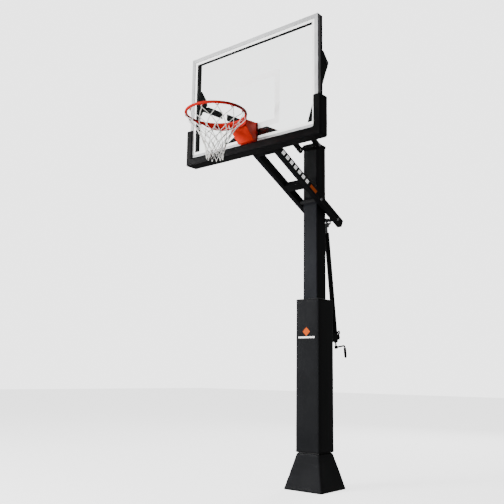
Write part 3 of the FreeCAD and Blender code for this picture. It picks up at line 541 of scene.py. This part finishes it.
# How wide the sharp edges of each machined or folded part are broken.
EASED = {
    "base_plate": 0.0015, "pole_cap": 0.0008, "actuator_bracket": 0.0012, "lift_stop": 0.0008,
    "lower_arm_right": 0.0006, "lower_arm_left": 0.0006, "arm_cross_front": 0.0012,
    "arm_cross_mid": 0.0012,
    "arm_end_caps": 0.001, "actuator_pin": 0.001, "pole_pivot_bolts": 0.001, "upper_fork": 0.0012,
    "strut_right": 0.002, "strut_left": 0.002, "rim_backing": 0.0015, "glass_spacers": 0.0008,
    "lower_brackets": 0.0012, "side_bracket_right": 0.0012, "side_bracket_left": 0.0012,
    "board_pivot_bolts": 0.001, "rim_mount": 0.001, "rim_bolts": 0.001, "rim_carrier": 0.001,
    "rim_cover": 0.0009, "spring_bolts": 0.0008, "actuator_rod": 0.001, "rear_frame_top": 0.003,
    "rear_frame_bottom": 0.003, "rear_frame_left": 0.003, "rear_frame_right": 0.003,
    "board_frame_top": 0.0008, "board_frame_bottom": 0.0008, "board_frame_left": 0.0008,
    "board_frame_right": 0.0008,
}


def eased(name, look, width):
    """A copy of a machined or folded CAD part with its sharp edges broken, as powder coat leaves them."""
    bm = node_bmesh(name)
    bmesh.ops.dissolve_limit(bm, angle_limit=COPLANAR, verts=bm.verts, edges=bm.edges)
    sharp = [e for e in bm.edges if len(e.link_faces) == 2 and e.calc_face_angle(0) > SHARP]
    bmesh.ops.bevel(bm, geom=sharp, offset=width, segments=2, profile=0.5, affect="EDGES",
                    clamp_overlap=True, offset_type="OFFSET")
    publish(bm, name + "_eased", BODY[name], look, stands_for=[name])


def dress_nodes():
    """Every CAD node gets the material of its slot, and the machined ones get broken edges."""
    for name, obj in frame["nodes"].items():
        for held in obj.material_slots:
            held.material = MATERIAL[SLOT_OF[name]]
    for name, width in EASED.items():
        eased(name, SLOT_OF[name], width)
    eased("lower_pivot_sleeve", "dark_zinc", 0.0008)


# Rim and net -------------------------------------------------------------------------------------------

ring_lo, ring_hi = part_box("rim_ring")
RING_CENTRE = (ring_lo + ring_hi) / 2
ROD = (ring_hi.z - ring_lo.z) / 2
RING_RADIUS = (ring_hi.x - ring_lo.x) / 2 - ROD

RING_STEPS, RING_SIDES, WIRE_SIDES = 120, 20, 8

WELD_SPAN = math.radians(64)
WELD_RIPPLES = 150
WELD_RADIUS, WELD_UNEVEN, WELD_BEAT = 0.0019, 0.0005, 2.1
WELD_OUT, WELD_UP = 0.0032, 0.0004

HOOKS = 12
HOOK_RADIUS = RING_RADIUS - 0.0036
HOOK_LOOP = 0.011
HOOK_WIRE = 0.0032
HOOK_BENDS = 14

CORD, CORD_STEPS = 0.0031, 5
KNOT_SIZE, KNOT_CORD, KNOT_STEPS, KNOT_SIDES = 0.0019, 0.0024, 20, 6
KNOT_WIDE, KNOT_TALL = 0.8, 1.15
# Where strands of neighbouring cords cross, they pass this far on either side of the net's middle.
CROSSING = 0.0016
NET_SWAY, NET_SAG = 0.004, 0.007

# Radius and height of the net at the hooks and at each row of knots.
NET_LEVELS = [(HOOK_RADIUS, 3.0140), (0.190, 2.952), (0.150, 2.899), (0.117, 2.848), (0.095, 2.797),
              (0.079, 2.748), (0.070, 2.703), (0.066, 2.664)]

# A cord over its hook: millimetres along the ring, then outwards and upwards in wire plus cord radii.
OVER_HOOK = ((-4, -1.05, -2), (-2.5, -0.8, 0.6), (0, 0, 1), (2.5, 0.8, 0.6), (4, 0.9, -2))

SPRING_WIRE, SPRING_TURNS, SPRING_STEPS = 0.0017, 5.5, 20
SPRING_CLOSED_END = 0.12


def round_ring(radius, angle, z=0.0):
    return RING_CENTRE + Vector((radius * math.cos(angle), radius * math.sin(angle), z))


def hook_angle(turn):
    return FULL_TURN * (turn + 0.5) / HOOKS


def rim_ring():
    bm = bmesh.new()
    sweep(bm, [round_ring(RING_RADIUS, a) for a in around(RING_STEPS)], ROD, RING_SIDES, closed=True)
    publish(bm, "rim_ring_bar", "rim", "rim_red", stands_for=["rim_ring"])


def weld_beads():
    """A fillet weld where the brace meets the ring, as small overlapping ripples."""
    bm = bmesh.new()
    points, radii = [], []
    for k in range(WELD_RIPPLES + 1):
        a = math.pi / 2 - WELD_SPAN + 2 * WELD_SPAN * k / WELD_RIPPLES
        points.append(round_ring(RING_RADIUS + WELD_OUT, a, -ROD + WELD_UP))
        radii.append(WELD_RADIUS + WELD_UNEVEN * math.sin(k * WELD_BEAT))
    sweep(bm, points, radii, WIRE_SIDES)
    publish(bm, "rim_welds", "rim", "rim_red")


def net_hooks():
    """Bent wire hooks, each welded by both feet to the underside of the ring."""
    bm = bmesh.new()
    for k in range(HOOKS):
        a = hook_angle(k)
        along = Vector((-math.sin(a), math.cos(a), 0))
        centre = round_ring(HOOK_RADIUS, a, -ROD)
        wire = [centre + along * HOOK_LOOP * math.cos(t) - Vector((0, 0, HOOK_LOOP * math.sin(t)))
                for t in (math.pi * s / HOOK_BENDS for s in range(HOOK_BENDS + 1))]
        sweep(bm, wire, HOOK_WIRE, WIRE_SIDES)
    publish(bm, "net_hook_wires", "rim", "rim_red", stands_for=["net_hooks"])


def net_point(turn, level, aside=0.0):
    """A point of the net. The turn counts hooks round the ring, and the level counts rows downwards."""
    radius, height = NET_LEVELS[level]
    angle = hook_angle(turn)
    x, y = math.cos(angle), math.sin(angle)
    if level:
        radius += NET_SWAY * noise.noise(Vector((3.1 * x, 3.1 * y, 9 * level))) + aside
        height += NET_SAG * noise.noise(Vector((2.3 * x, 5 + 2.3 * y, 4 * level)))
    return Vector((RING_CENTRE.x + radius * x, RING_CENTRE.y + radius * y, height))


def net_knot(bm, place, outward):
    """A small overhand knot, a little taller than wide."""
    side = UP.cross(outward).normalized()
    loop = []
    for t in around(KNOT_STEPS):
        u = KNOT_WIDE * (math.sin(t) + 2 * math.sin(2 * t))
        v = KNOT_TALL * (math.cos(t) - 2 * math.cos(2 * t))
        loop.append(place + (side * u + UP * v - outward * math.sin(3 * t)) * KNOT_SIZE)
    sweep(bm, loop, KNOT_CORD, KNOT_SIDES, closed=True)


def net():
    """Twelve cords over the hooks. Each falls in two strands that are knotted to their neighbours."""
    bm = bmesh.new()
    rows = range(1, len(NET_LEVELS))
    for k in range(HOOKS):
        top = net_point(k, 0)
        a = hook_angle(k)
        along = Vector((-math.sin(a), math.cos(a), 0))
        outward = Vector((math.cos(a), math.sin(a), 0))
        over = HOOK_WIRE + CORD
        path = [net_point(k - level / 2, level, -CROSSING) for level in reversed(rows)]
        path += [top + along * across * 0.001 + outward * over * out + UP * over * rise
                 for across, out, rise in OVER_HOOK]
        path += [net_point(k + level / 2, level, CROSSING) for level in rows]
        sweep(bm, spline(path, CORD_STEPS), CORD, WIRE_SIDES)
    for level in rows:
        for k in range(HOOKS):
            centre = net_point(k + level / 2, level)
            net_knot(bm, centre, (centre - RING_CENTRE).xy.to_3d().normalized())
    publish(bm, "net_cords", "rim", "net_cord", stands_for=["net"])


def springs():
    """Closed-end compression springs in place of their plain sleeves."""
    lo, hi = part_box("rim_springs")
    bm = bmesh.new()
    radius = (hi.z - lo.z) / 2 - SPRING_WIRE
    steps = int(SPRING_TURNS * SPRING_STEPS)
    for x in (lo.x + radius + SPRING_WIRE, hi.x - radius - SPRING_WIRE):
        points = []
        for s in range(steps + 1):
            share = s / steps
            a = FULL_TURN * SPRING_TURNS * share
            climb = min(max((share - SPRING_CLOSED_END) / (1 - 2 * SPRING_CLOSED_END), 0), 1)
            y = lo.y + SPRING_WIRE + (hi.y - lo.y - 2 * SPRING_WIRE) * climb
            points.append(Vector((x + radius * math.cos(a), y, (lo.z + hi.z) / 2 + radius * math.sin(a))))
        sweep(bm, points, SPRING_WIRE, WIRE_SIDES)
    obj = publish(bm, "rim_spring_coils", "rim", "zinc_steel", stands_for=["rim_springs"])
    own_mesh(obj)


# Board -------------------------------------------------------------------------------------------------

GLASS_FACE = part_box("glass_panel")[0].y
MARK = 0.0003
MARK_CORNER = 0.004
RIM_GAP = 0.0915

FOAM_CORNER = 0.024
FOAM_VOXEL = 0.005
FOAM_SKIN, FOAM_DIMPLES = 0.0007, 0.0011


def mark_bar(bm, x0, x1, z0, z1):
    """A thin painted bar on the front of the glass, with its corners cut."""
    r = MARK_CORNER
    corners = [(x1 - r, z0), (x1, z0 + r), (x1, z1 - r), (x1 - r, z1), (x0 + r, z1), (x0, z1 - r),
               (x0, z0 + r), (x0 + r, z0)]
    slab(bm, corners, GLASS_FACE - MARK * 1.5, MARK)


def mark_pair(bm, inner, outer, z0, z1):
    for side in (-1, 1):
        mark_bar(bm, *sorted((side * inner, side * outer)), z0, z1)


def board_marks():
    """White border and target square on the glass. Both are open where the rim is bolted on."""
    bm = bmesh.new()
    for half, low, high, wide in ((0.6655, 2.9305, 3.8265, 0.024), (0.315, 3.018, 3.494, 0.050)):
        mark_bar(bm, -half, half, high - wide, high)
        mark_pair(bm, RIM_GAP, half, low, low + wide)
        mark_pair(bm, half - wide, half, low + wide + MARK, high - wide - MARK)
    publish(bm, "board_marks", "board", "white_paint")


def board_pad():
    """One moulded foam channel round the bottom of the board, rounded by its mould."""
    channels = ["board_pad_bottom", "board_pad_left", "board_pad_right"]
    obj = object_from(node_bmesh(*channels), "board_pad_foam", MATERIAL["moulded_foam"])
    remesh = obj.modifiers.new("remesh", "REMESH")
    remesh.mode, remesh.voxel_size = "VOXEL", FOAM_VOXEL
    relax = obj.modifiers.new("relax", "SMOOTH")
    relax.factor, relax.iterations = 0.5, 5
    apply_modifiers(obj)
    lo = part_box("board_pad_bottom")[0]
    normals = [vert.normal.copy() for vert in obj.data.vertices]
    for vert, normal in zip(obj.data.vertices, normals):
        p = vert.co + normal * (FOAM_SKIN + FOAM_DIMPLES * noise.noise(vert.co * 9))
        out = Vector((abs(p.x) + lo.x + FOAM_CORNER, lo.z + FOAM_CORNER - p.z))
        if min(out) > 0 and out.length > FOAM_CORNER:
            out *= FOAM_CORNER / out.length
            p = Vector((math.copysign(out.x - lo.x - FOAM_CORNER, p.x), p.y, lo.z + FOAM_CORNER - out.y))
        vert.co = p
    for poly in obj.data.polygons:
        poly.use_smooth = True
    obj.data.update()
    settle(obj, "board", channels)


# Pole pad and foot cover -------------------------------------------------------------------------------

# Half the side and the corner radius of the pole pad's outer and inner faces, and half its rear slit.
OUTER_HALF, OUTER_CORNER = 0.1245, 0.012
INNER_HALF, INNER_CORNER = 0.0778, 0.004
SLIT = 0.052

CORNER_STEPS, SIDE_STEPS, PAD_ROWS = 5, 18, 90
NEAR_LIP = (0.0, 0.03, 0.08, 0.15, 0.25, 0.45, 0.7)
NEAR_END = (0.0, 0.0012, 0.003, 0.0055, 0.009, 0.014)
EDGE_ROUND, EDGE_POWER = 0.010, 2.4
CROWN, CROWN_REACH, RIPPLE = 0.0014, 0.1, 0.0009
SWELL = 0.0016
HELD_INSIDE = 0.084
WELT_INSET = 0.012

CLOTH_FRAMES, CLOTH_QUALITY = 20, 4
CLOTH_PRESSURE, CLOTH_STIFFNESS = 4.0, 25

PRINT_GAP, PRINT_THICK = 0.0004, 0.0006
LOZENGE_X, LOZENGE_Z, LOZENGE_HALF, LOZENGE_CELLS = -0.004, 1.371, 0.040, 6
BAR_X, BAR_Z, BAR_LONG, BAR_TALL, BAR_COLUMNS, BAR_ROWS = -0.092, 1.313, 0.176, 0.014, 14, 2

SEAM_POINTS = 180
SEAM_OPEN = 0.62
WELT_CORD, STITCH_CORD = 0.0019, 0.0006
STITCH_BESIDE = 0.008
SEAM_BED = 0.0002

STRAP_HEIGHTS = (0.470, 0.900, 1.150, 1.560)
STRAP_HALF, STRAP_WIDE, STRAP_THICK, STRAP_STEPS = 0.072, 0.050, 0.0018, 24
STRAP_CLEAR = 0.0008
# How far out a strap lies over the slit, and the least that it lies out anywhere.
OVER_SLIT, STRAP_LOWEST = 0.116, 0.112
# A ray that passes through the slit meets the pad nearer to the pole than this.
IN_SLIT = 0.09
PATCH_START, PATCH_END, PATCH_INSET, PATCH_THICK = 14, 24, 0.004, 0.0014

SKIRT_CORNER, SKIRT_WALL, SKIRT_STEPS = 0.016, 0.006, 16
SKIRT_SAG, SKIRT_RIPPLE = 0.0065, 0.003
FOLD_DEPTH, FOLD_HEIGHT, FOLD_SLANT, FOLD_WIDTH = 0.004, 0.235, 0.35, 0.012
# The collar keeps its shape: the sag and the fold stop at these shares of the height.
SAG_END, FOLD_END = 0.97, 0.95


def pad_path(half, radius):
    """Points round one face of the pad's wall, from one lip of the rear slit to the other.

    The two faces have the same number of points, so that they can be joined point by point."""
    corners = [(half, half), (half, -half), (-half, -half), (-half, half)]
    ends = [Vector((SLIT, half, 0))]
    for (x, y), (dx, dy) in zip(corners, ((1, 0), (0, -1), (-1, 0), (0, 1))):
        way = Vector((dx, dy, 0))
        inwards = Vector((dy, -dx, 0))
        centre = Vector((x, y, 0)) - way * radius + inwards * radius
        ends.append([centre + (way * math.sin(t) - inwards * math.cos(t)) * radius
                     for t in (math.pi / 2 * s / CORNER_STEPS for s in range(CORNER_STEPS + 1))])
    ends.append(Vector((-SLIT, half, 0)))
    out = [ends[0].lerp(ends[1][0], t) for t in NEAR_LIP]
    for arc, after in zip(ends[1:5], ends[2:]):
        out += arc
        if after is not ends[-1]:
            out += [arc[-1].lerp(after[0], s / SIDE_STEPS) for s in range(1, SIDE_STEPS)]
    return out + [ends[4][-1].lerp(ends[5], 1 - t) for t in reversed(NEAR_LIP)]


def pole_pad():
    """A tall foam sleeve: vinyl sewn over slabs, closed by straps at the back."""
    lo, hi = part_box("pole_pad")
    outer, inner = pad_path(OUTER_HALF, OUTER_CORNER), pad_path(INNER_HALF, INNER_CORNER)
    tall = hi.z - lo.z
    heights = [lo.z + d for d in NEAR_END]
    heights += [lo.z + tall * k / PAD_ROWS for k in range(2, PAD_ROWS - 1)]
    heights += [hi.z - d for d in reversed(NEAR_END)]
    length = [0.0]
    for a, b in zip(outer, outer[1:]):
        length.append(length[-1] + (b - a).length)
    bm = bmesh.new()
    layers = {}
    for side, face in ((1, outer), (-1, inner)):
        for i, point in enumerate(face):
            middle = (outer[i] + inner[i]) / 2
            for j, z in enumerate(heights):
                edge = max(0.0, min(length[i], length[-1] - length[i], z - lo.z, hi.z - z))
                if side < 0 and edge < 1e-6:
                    layers[side, i, j] = layers[1, i, j]
                    continue
                full = (1 - (1 - min(edge / EDGE_ROUND, 1.0)) ** EDGE_POWER) ** (1 / EDGE_POWER)
                place = middle.lerp(point, full)
                if side > 0:
                    across = min(abs(place.x), abs(place.y))
                    crown = CROWN * max(0.0, 1 - (across / CROWN_REACH) ** 2)
                    ripple = RIPPLE * noise.noise(Vector((length[i] * 9, 0, z * 5)))
                    place += (point - inner[i]).normalized() * full * (crown + ripple - RIPPLE)
                layers[side, i, j] = bm.verts.new(Vector((place.x, place.y, z)))
    for side in (1, -1):
        for i in range(len(outer) - 1):
            for j in range(len(heights) - 1):
                quad = [layers[side, i + di, j + dj] for di, dj in ((0, 0), (1, 0), (1, 1), (0, 1))]
                if len(set(quad)) == 4:
                    bm.faces.new(quad if side > 0 else list(reversed(quad)))
    obj = publish(bm, "pole_pad_sleeve", "post", "pad_vinyl", stands_for=["pole_pad"], smooth_angle=80)
    swell(obj, lambda p: max(abs(p.x), abs(p.y)) < HELD_INSIDE
          or p.z < lo.z + WELT_INSET or p.z > hi.z - WELT_INSET)
    return obj


def swell(obj, held):
    """Swells a padded piece by a short cloth simulation under pressure, with its held points fixed."""
    start = [v.co.copy() for v in obj.data.vertices]
    group = obj.vertex_groups.new(name="held")
    group.add([i for i, p in enumerate(start) if held(p)], 1.0, "REPLACE")
    cloth = obj.modifiers.new("cloth", "CLOTH")
    cloth.settings.use_pressure = True
    cloth.settings.uniform_pressure_force = CLOTH_PRESSURE
    cloth.settings.effector_weights.gravity = 0.0
    cloth.settings.vertex_group_mass = "held"
    cloth.settings.tension_stiffness = CLOTH_STIFFNESS
    cloth.settings.quality = CLOTH_QUALITY
    cloth.point_cache.frame_start, cloth.point_cache.frame_end = 1, CLOTH_FRAMES
    scene = bpy.context.scene
    for step in range(1, CLOTH_FRAMES + 1):
        scene.frame_set(step)
    apply_modifiers(obj)
    scene.frame_set(1)
    for vert, before in zip(obj.data.vertices, start):
        move = vert.co - before
        if move.length > SWELL:
            vert.co = before + move.normalized() * SWELL
    obj.vertex_groups.clear()


def printed_patch(bm, tree, outline_rows):
    """A thin printed patch laid on a surface from the front: rows of (x, z) points."""
    gaps = (PRINT_GAP, PRINT_GAP + PRINT_THICK)
    rows, columns = len(outline_rows), len(outline_rows[0])
    grid = {}
    for gap in gaps:
        for i, row in enumerate(outline_rows):
            for j, (x, z) in enumerate(row):
                hit = tree.ray_cast(Vector((x, -1.0, z)), Vector((0, 1, 0)))[0]
                grid[gap, i, j] = bm.verts.new(Vector((x, hit.y - gap, z)))
    for gap in gaps:
        for i in range(rows - 1):
            for j in range(columns - 1):
                bm.faces.new([grid[gap, i + di, j + dj] for di, dj in ((0, 0), (1, 0), (1, 1), (0, 1))])
    rim = [(i, 0) for i in range(rows)]
    rim += [(rows - 1, j) for j in range(1, columns)]
    rim += [(i, columns - 1) for i in range(rows - 2, -1, -1)]
    rim += [(0, j) for j in range(columns - 2, 0, -1)]
    near, far = ([grid[gap, i, j] for i, j in rim] for gap in gaps)
    bridge(bm, near, far)


def pad_emblem(pad):
    """A plain orange lozenge over a white bar, in place of any mark."""
    tree = surface_of(pad)
    bm = bmesh.new()
    cell, steps = LOZENGE_HALF / LOZENGE_CELLS, range(LOZENGE_CELLS + 1)
    rows = [[(LOZENGE_X + cell * (u - v), LOZENGE_Z + cell * (u + v - LOZENGE_CELLS)) for u in steps]
            for v in steps]
    printed_patch(bm, tree, rows)
    publish(bm, "pad_lozenge", "post", "accent_orange")
    bm = bmesh.new()
    rows = [[(BAR_X + BAR_LONG * u / BAR_COLUMNS, BAR_Z + BAR_TALL * v / BAR_ROWS)
             for u in range(BAR_COLUMNS + 1)] for v in range(BAR_ROWS + 1)]
    printed_patch(bm, tree, rows)
    publish(bm, "pad_bar", "post", "white_paint")


def seam_lines(pad):
    """Welt cords round the top and the bottom of the pad, with a row of stitches beside each."""
    lo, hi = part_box("pole_pad")
    bm = bmesh.new()
    stitches = bmesh.new()
    tree = surface_of(pad)
    for z, way in ((lo.z + WELT_INSET, 1), (hi.z - WELT_INSET, -1)):
        ring = []
        for k in range(SEAM_POINTS):
            a = math.pi / 2 + SEAM_OPEN + (FULL_TURN - 2 * SEAM_OPEN) * k / (SEAM_POINTS - 1)
            ray = Vector((math.cos(a), math.sin(a), 0))
            hit, normal = tree.ray_cast(ray * 0.4 + Vector((0, 0, z)), -ray)[:2]
            ring.append(Vector((hit.x, hit.y, z)) + normal.xy.to_3d().normalized() * SEAM_BED)
        sweep(bm, ring, WELT_CORD, 6)
        for k in range(0, SEAM_POINTS - 2, 2):
            a, b = ring[k], ring[k + 1]
            shift = UP * way * STITCH_BESIDE - (a + b).xy.to_3d().normalized() * SEAM_BED
            sweep(stitches, [a.lerp(b, 0.1) + shift, a.lerp(b, 0.9) + shift], STITCH_CORD, 5)
    publish(bm, "pad_welts", "post", "black_rubber")
    publish(stitches, "pad_stitches", "post", "thread")


def foot_cover():
    """A skirt of padded vinyl that slopes from the pad to the ground and sags between its corners."""
    lo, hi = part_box("foot_cover")
    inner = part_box("pole")[1].x + 0.0012
    # Heights and half widths: the rounded hem, the slope, and the collar that turns in to the pole.
    hem = [(0.0, 0.1975), (0.006, 0.1985), (0.016, 0.1975), (0.022, 0.1945)]
    collar = [(0.302, 0.119), (0.308, 0.115), (0.3115, 0.108), (0.3115, 0.095), (0.3115, inner)]
    foot, wide = hem[-1]
    rise, narrowing = 0.272, wide - 0.122
    slope = [(foot + rise * k / SKIRT_STEPS, wide - narrowing * k / SKIRT_STEPS)
             for k in range(1, SKIRT_STEPS + 1)]
    bm = bmesh.new()
    rings = []
    for height, half in hem + slope + collar:
        share = height / hi.z
        bulge = math.sin(math.pi * min(share, 1))
        ring = []
        for x, y in rounded_square(half, SKIRT_CORNER):
            off_corner = min(abs(abs(x) - abs(y)) / half, 1)
            sag = SKIRT_SAG * off_corner * bulge if share < SAG_END else 0.0
            off_fold = (height - FOLD_HEIGHT - FOLD_SLANT * (x + y)) / FOLD_WIDTH
            fold = FOLD_DEPTH * math.exp(-off_fold ** 2) if share < FOLD_END else 0.0
            ripple = SKIRT_RIPPLE * noise.noise(Vector((x * 9, y * 9, height * 7))) * bulge
            pull = 1 - (sag + fold - ripple) / half
            ring.append(bm.verts.new(Vector((x * pull, y * pull, lo.z + height))))
        rings.append(ring)
    for one, two in zip(rings, rings[1:]):
        bridge(bm, one, two)
    obj = publish(bm, "foot_skirt", "post", "pad_vinyl", stands_for=["foot_cover"], smooth_angle=60)
    finer = obj.modifiers.new("finer", "SUBSURF")
    finer.levels = finer.render_levels = 1
    wall = obj.modifiers.new("wall", "SOLIDIFY")
    wall.thickness, wall.offset = SKIRT_WALL, -1.0
    apply_modifiers(obj)


def strip(bm, line, z0, z1, thick):
    """A flat strap that follows a line of (x, y) points, bevelled along both edges."""
    inset = thick * 0.35
    section = [(0.0, z0 + inset), (0.0, z1 - inset), (inset, z1), (thick - inset, z1), (thick, z1 - inset),
               (thick, z0 + inset), (thick - inset, z0), (inset, z0)]
    rings = [[bm.verts.new(Vector((x, y + d, z))) for d, z in section] for x, y in line]
    for one, two in zip(rings, rings[1:]):
        bridge(bm, one, two)
    cap_ends(bm, rings[0], rings[-1])


def straps(pad):
    """Webbing straps across the slit of the pad, each with a sewn hook-and-loop patch."""
    bm = bmesh.new()
    patches = bmesh.new()
    tree = surface_of(pad)
    count = STRAP_STEPS + 1
    for z in STRAP_HEIGHTS:
        xs = [-STRAP_HALF + 2 * STRAP_HALF * k / STRAP_STEPS for k in range(count)]
        ys = []
        for x in xs:
            hit = tree.ray_cast(Vector((x, 0.5, z + STRAP_WIDE / 2)), Vector((0, -1, 0)))[0]
            ys.append(max(hit.y if hit and hit.y > IN_SLIT else OVER_SLIT, STRAP_LOWEST))
        taut = [sum(ys[min(max(k + s, 0), STRAP_STEPS)] for s in (-2, -1, 0, 1, 2)) / 5 + STRAP_CLEAR
                for k in range(count)]
        line = list(zip(xs, taut))
        strip(bm, line, z, z + STRAP_WIDE, STRAP_THICK)
        sewn = [(x, y + STRAP_THICK + 0.0001) for x, y in line[PATCH_START:PATCH_END]]
        strip(patches, sewn, z + PATCH_INSET, z + STRAP_WIDE - PATCH_INSET, PATCH_THICK)
    publish(bm, "strap_webbing", "post", "webbing", stands_for=["pad_straps"])
    publish(patches, "strap_patches", "post", "black_rubber")


# Arms and crank ----------------------------------------------------------------------------------------

# Starts and lengths of the bars along the arm, from the lower pivot.
ARM_BARS = {
    "white_paint": [(-0.672 + 0.066 * k, 0.040) for k in range(7)],
    "accent_orange": [(-0.196, 0.105)],
}
ARM_BAR_LOW, ARM_BAR_HIGH, ARM_BAR_LEAN, ARM_BAR_THICK = -0.004, 0.033, 0.010, 0.00025
ARM_FACE = 0.13505

GRIP_LOW, GRIP_HIGH, GRIP_BORE = -0.2076, -0.1164, 0.0052
GRIP_BODY, GRIP_END, GRIP_NOSE = 0.0128, 0.0131, 0.0110
GRIP_GROOVES, GRIP_STEPS, GRIP_SIDES = 6, 40, 40
GRIP_GROOVE, GRIP_TAPER, GRIP_CHAMFER = 0.0007, 0.0010, 0.002


def arm_stripes():
    """Plain slanted white bars and an orange block on the outer face of each arm."""
    to_hoop = Matrix.Translation(PIVOT_LOWER) @ Matrix.Rotation(-ARM_SLOPE, 4, "X")
    across = Matrix(((0, 1, 0, 0), (1, 0, 0, 0), (0, 0, 1, 0), (0, 0, 0, 1)))
    for colour, bars in ARM_BARS.items():
        bm = bmesh.new()
        for face in (-ARM_FACE - ARM_BAR_THICK, ARM_FACE):
            for start, long in bars:
                outline = [(start, ARM_BAR_LOW), (start + long, ARM_BAR_LOW),
                           (start + long + ARM_BAR_LEAN, ARM_BAR_HIGH), (start + ARM_BAR_LEAN, ARM_BAR_HIGH)]
                slab(bm, outline, face, ARM_BAR_THICK, to_hoop @ across)
        publish(bm, "arm_marks_" + colour, "lower_arms", colour)


def crank_grip():
    """A turned grip with finger grooves."""
    lean = Matrix.Rotation(ACTUATOR_LEAN, 4, "X")
    place = Matrix.Translation(ACTUATOR_FOOT) @ lean @ Matrix.Translation((0, CRANK_REACH, 0))
    body = [(GRIP_BORE, GRIP_LOW), (GRIP_NOSE, GRIP_LOW), (GRIP_END, GRIP_LOW + GRIP_CHAMFER)]
    start, length = GRIP_LOW + 2 * GRIP_CHAMFER, GRIP_HIGH - GRIP_LOW - 4 * GRIP_CHAMFER
    for k in range(GRIP_STEPS + 1):
        share = k / GRIP_STEPS
        groove = GRIP_GROOVE * math.cos(FULL_TURN * share * GRIP_GROOVES)
        taper = GRIP_TAPER * (2 * share - 1) ** 4
        body.append((GRIP_BODY + groove - taper, start + length * share))
    body += [(GRIP_END, GRIP_HIGH - GRIP_CHAMFER), (GRIP_NOSE, GRIP_HIGH), (GRIP_BORE, GRIP_HIGH)]
    bm = bmesh.new()
    rings = [[bm.verts.new(place @ Vector((r * math.cos(a), r * math.sin(a), h))) for a in around(GRIP_SIDES)]
             for r, h in body]
    for one, two in zip(rings, rings[1:] + rings[:1]):
        bridge(bm, one, two)
    publish(bm, "grip_sleeve", "grip", "black_rubber", stands_for=["crank_grip"])


def floor():
    bm = bmesh.new()
    bmesh.ops.create_grid(bm, x_segments=8, y_segments=8, size=FLOOR_HALF)
    obj = object_from(bm, "floor", floor_material())
    obj.location.z = -FLOOR_DROP
    obj.visible_glossy = False
    obj.visible_diffuse = False


camera()
area_lights()
room()
floor()
dress_nodes()
rim_ring()
weld_beads()
net_hooks()
net()
springs()
board_marks()
board_pad()
pad = pole_pad()
seam_lines(pad)
pad_emblem(pad)
straps(pad)
foot_cover()
arm_stripes()
crank_grip()
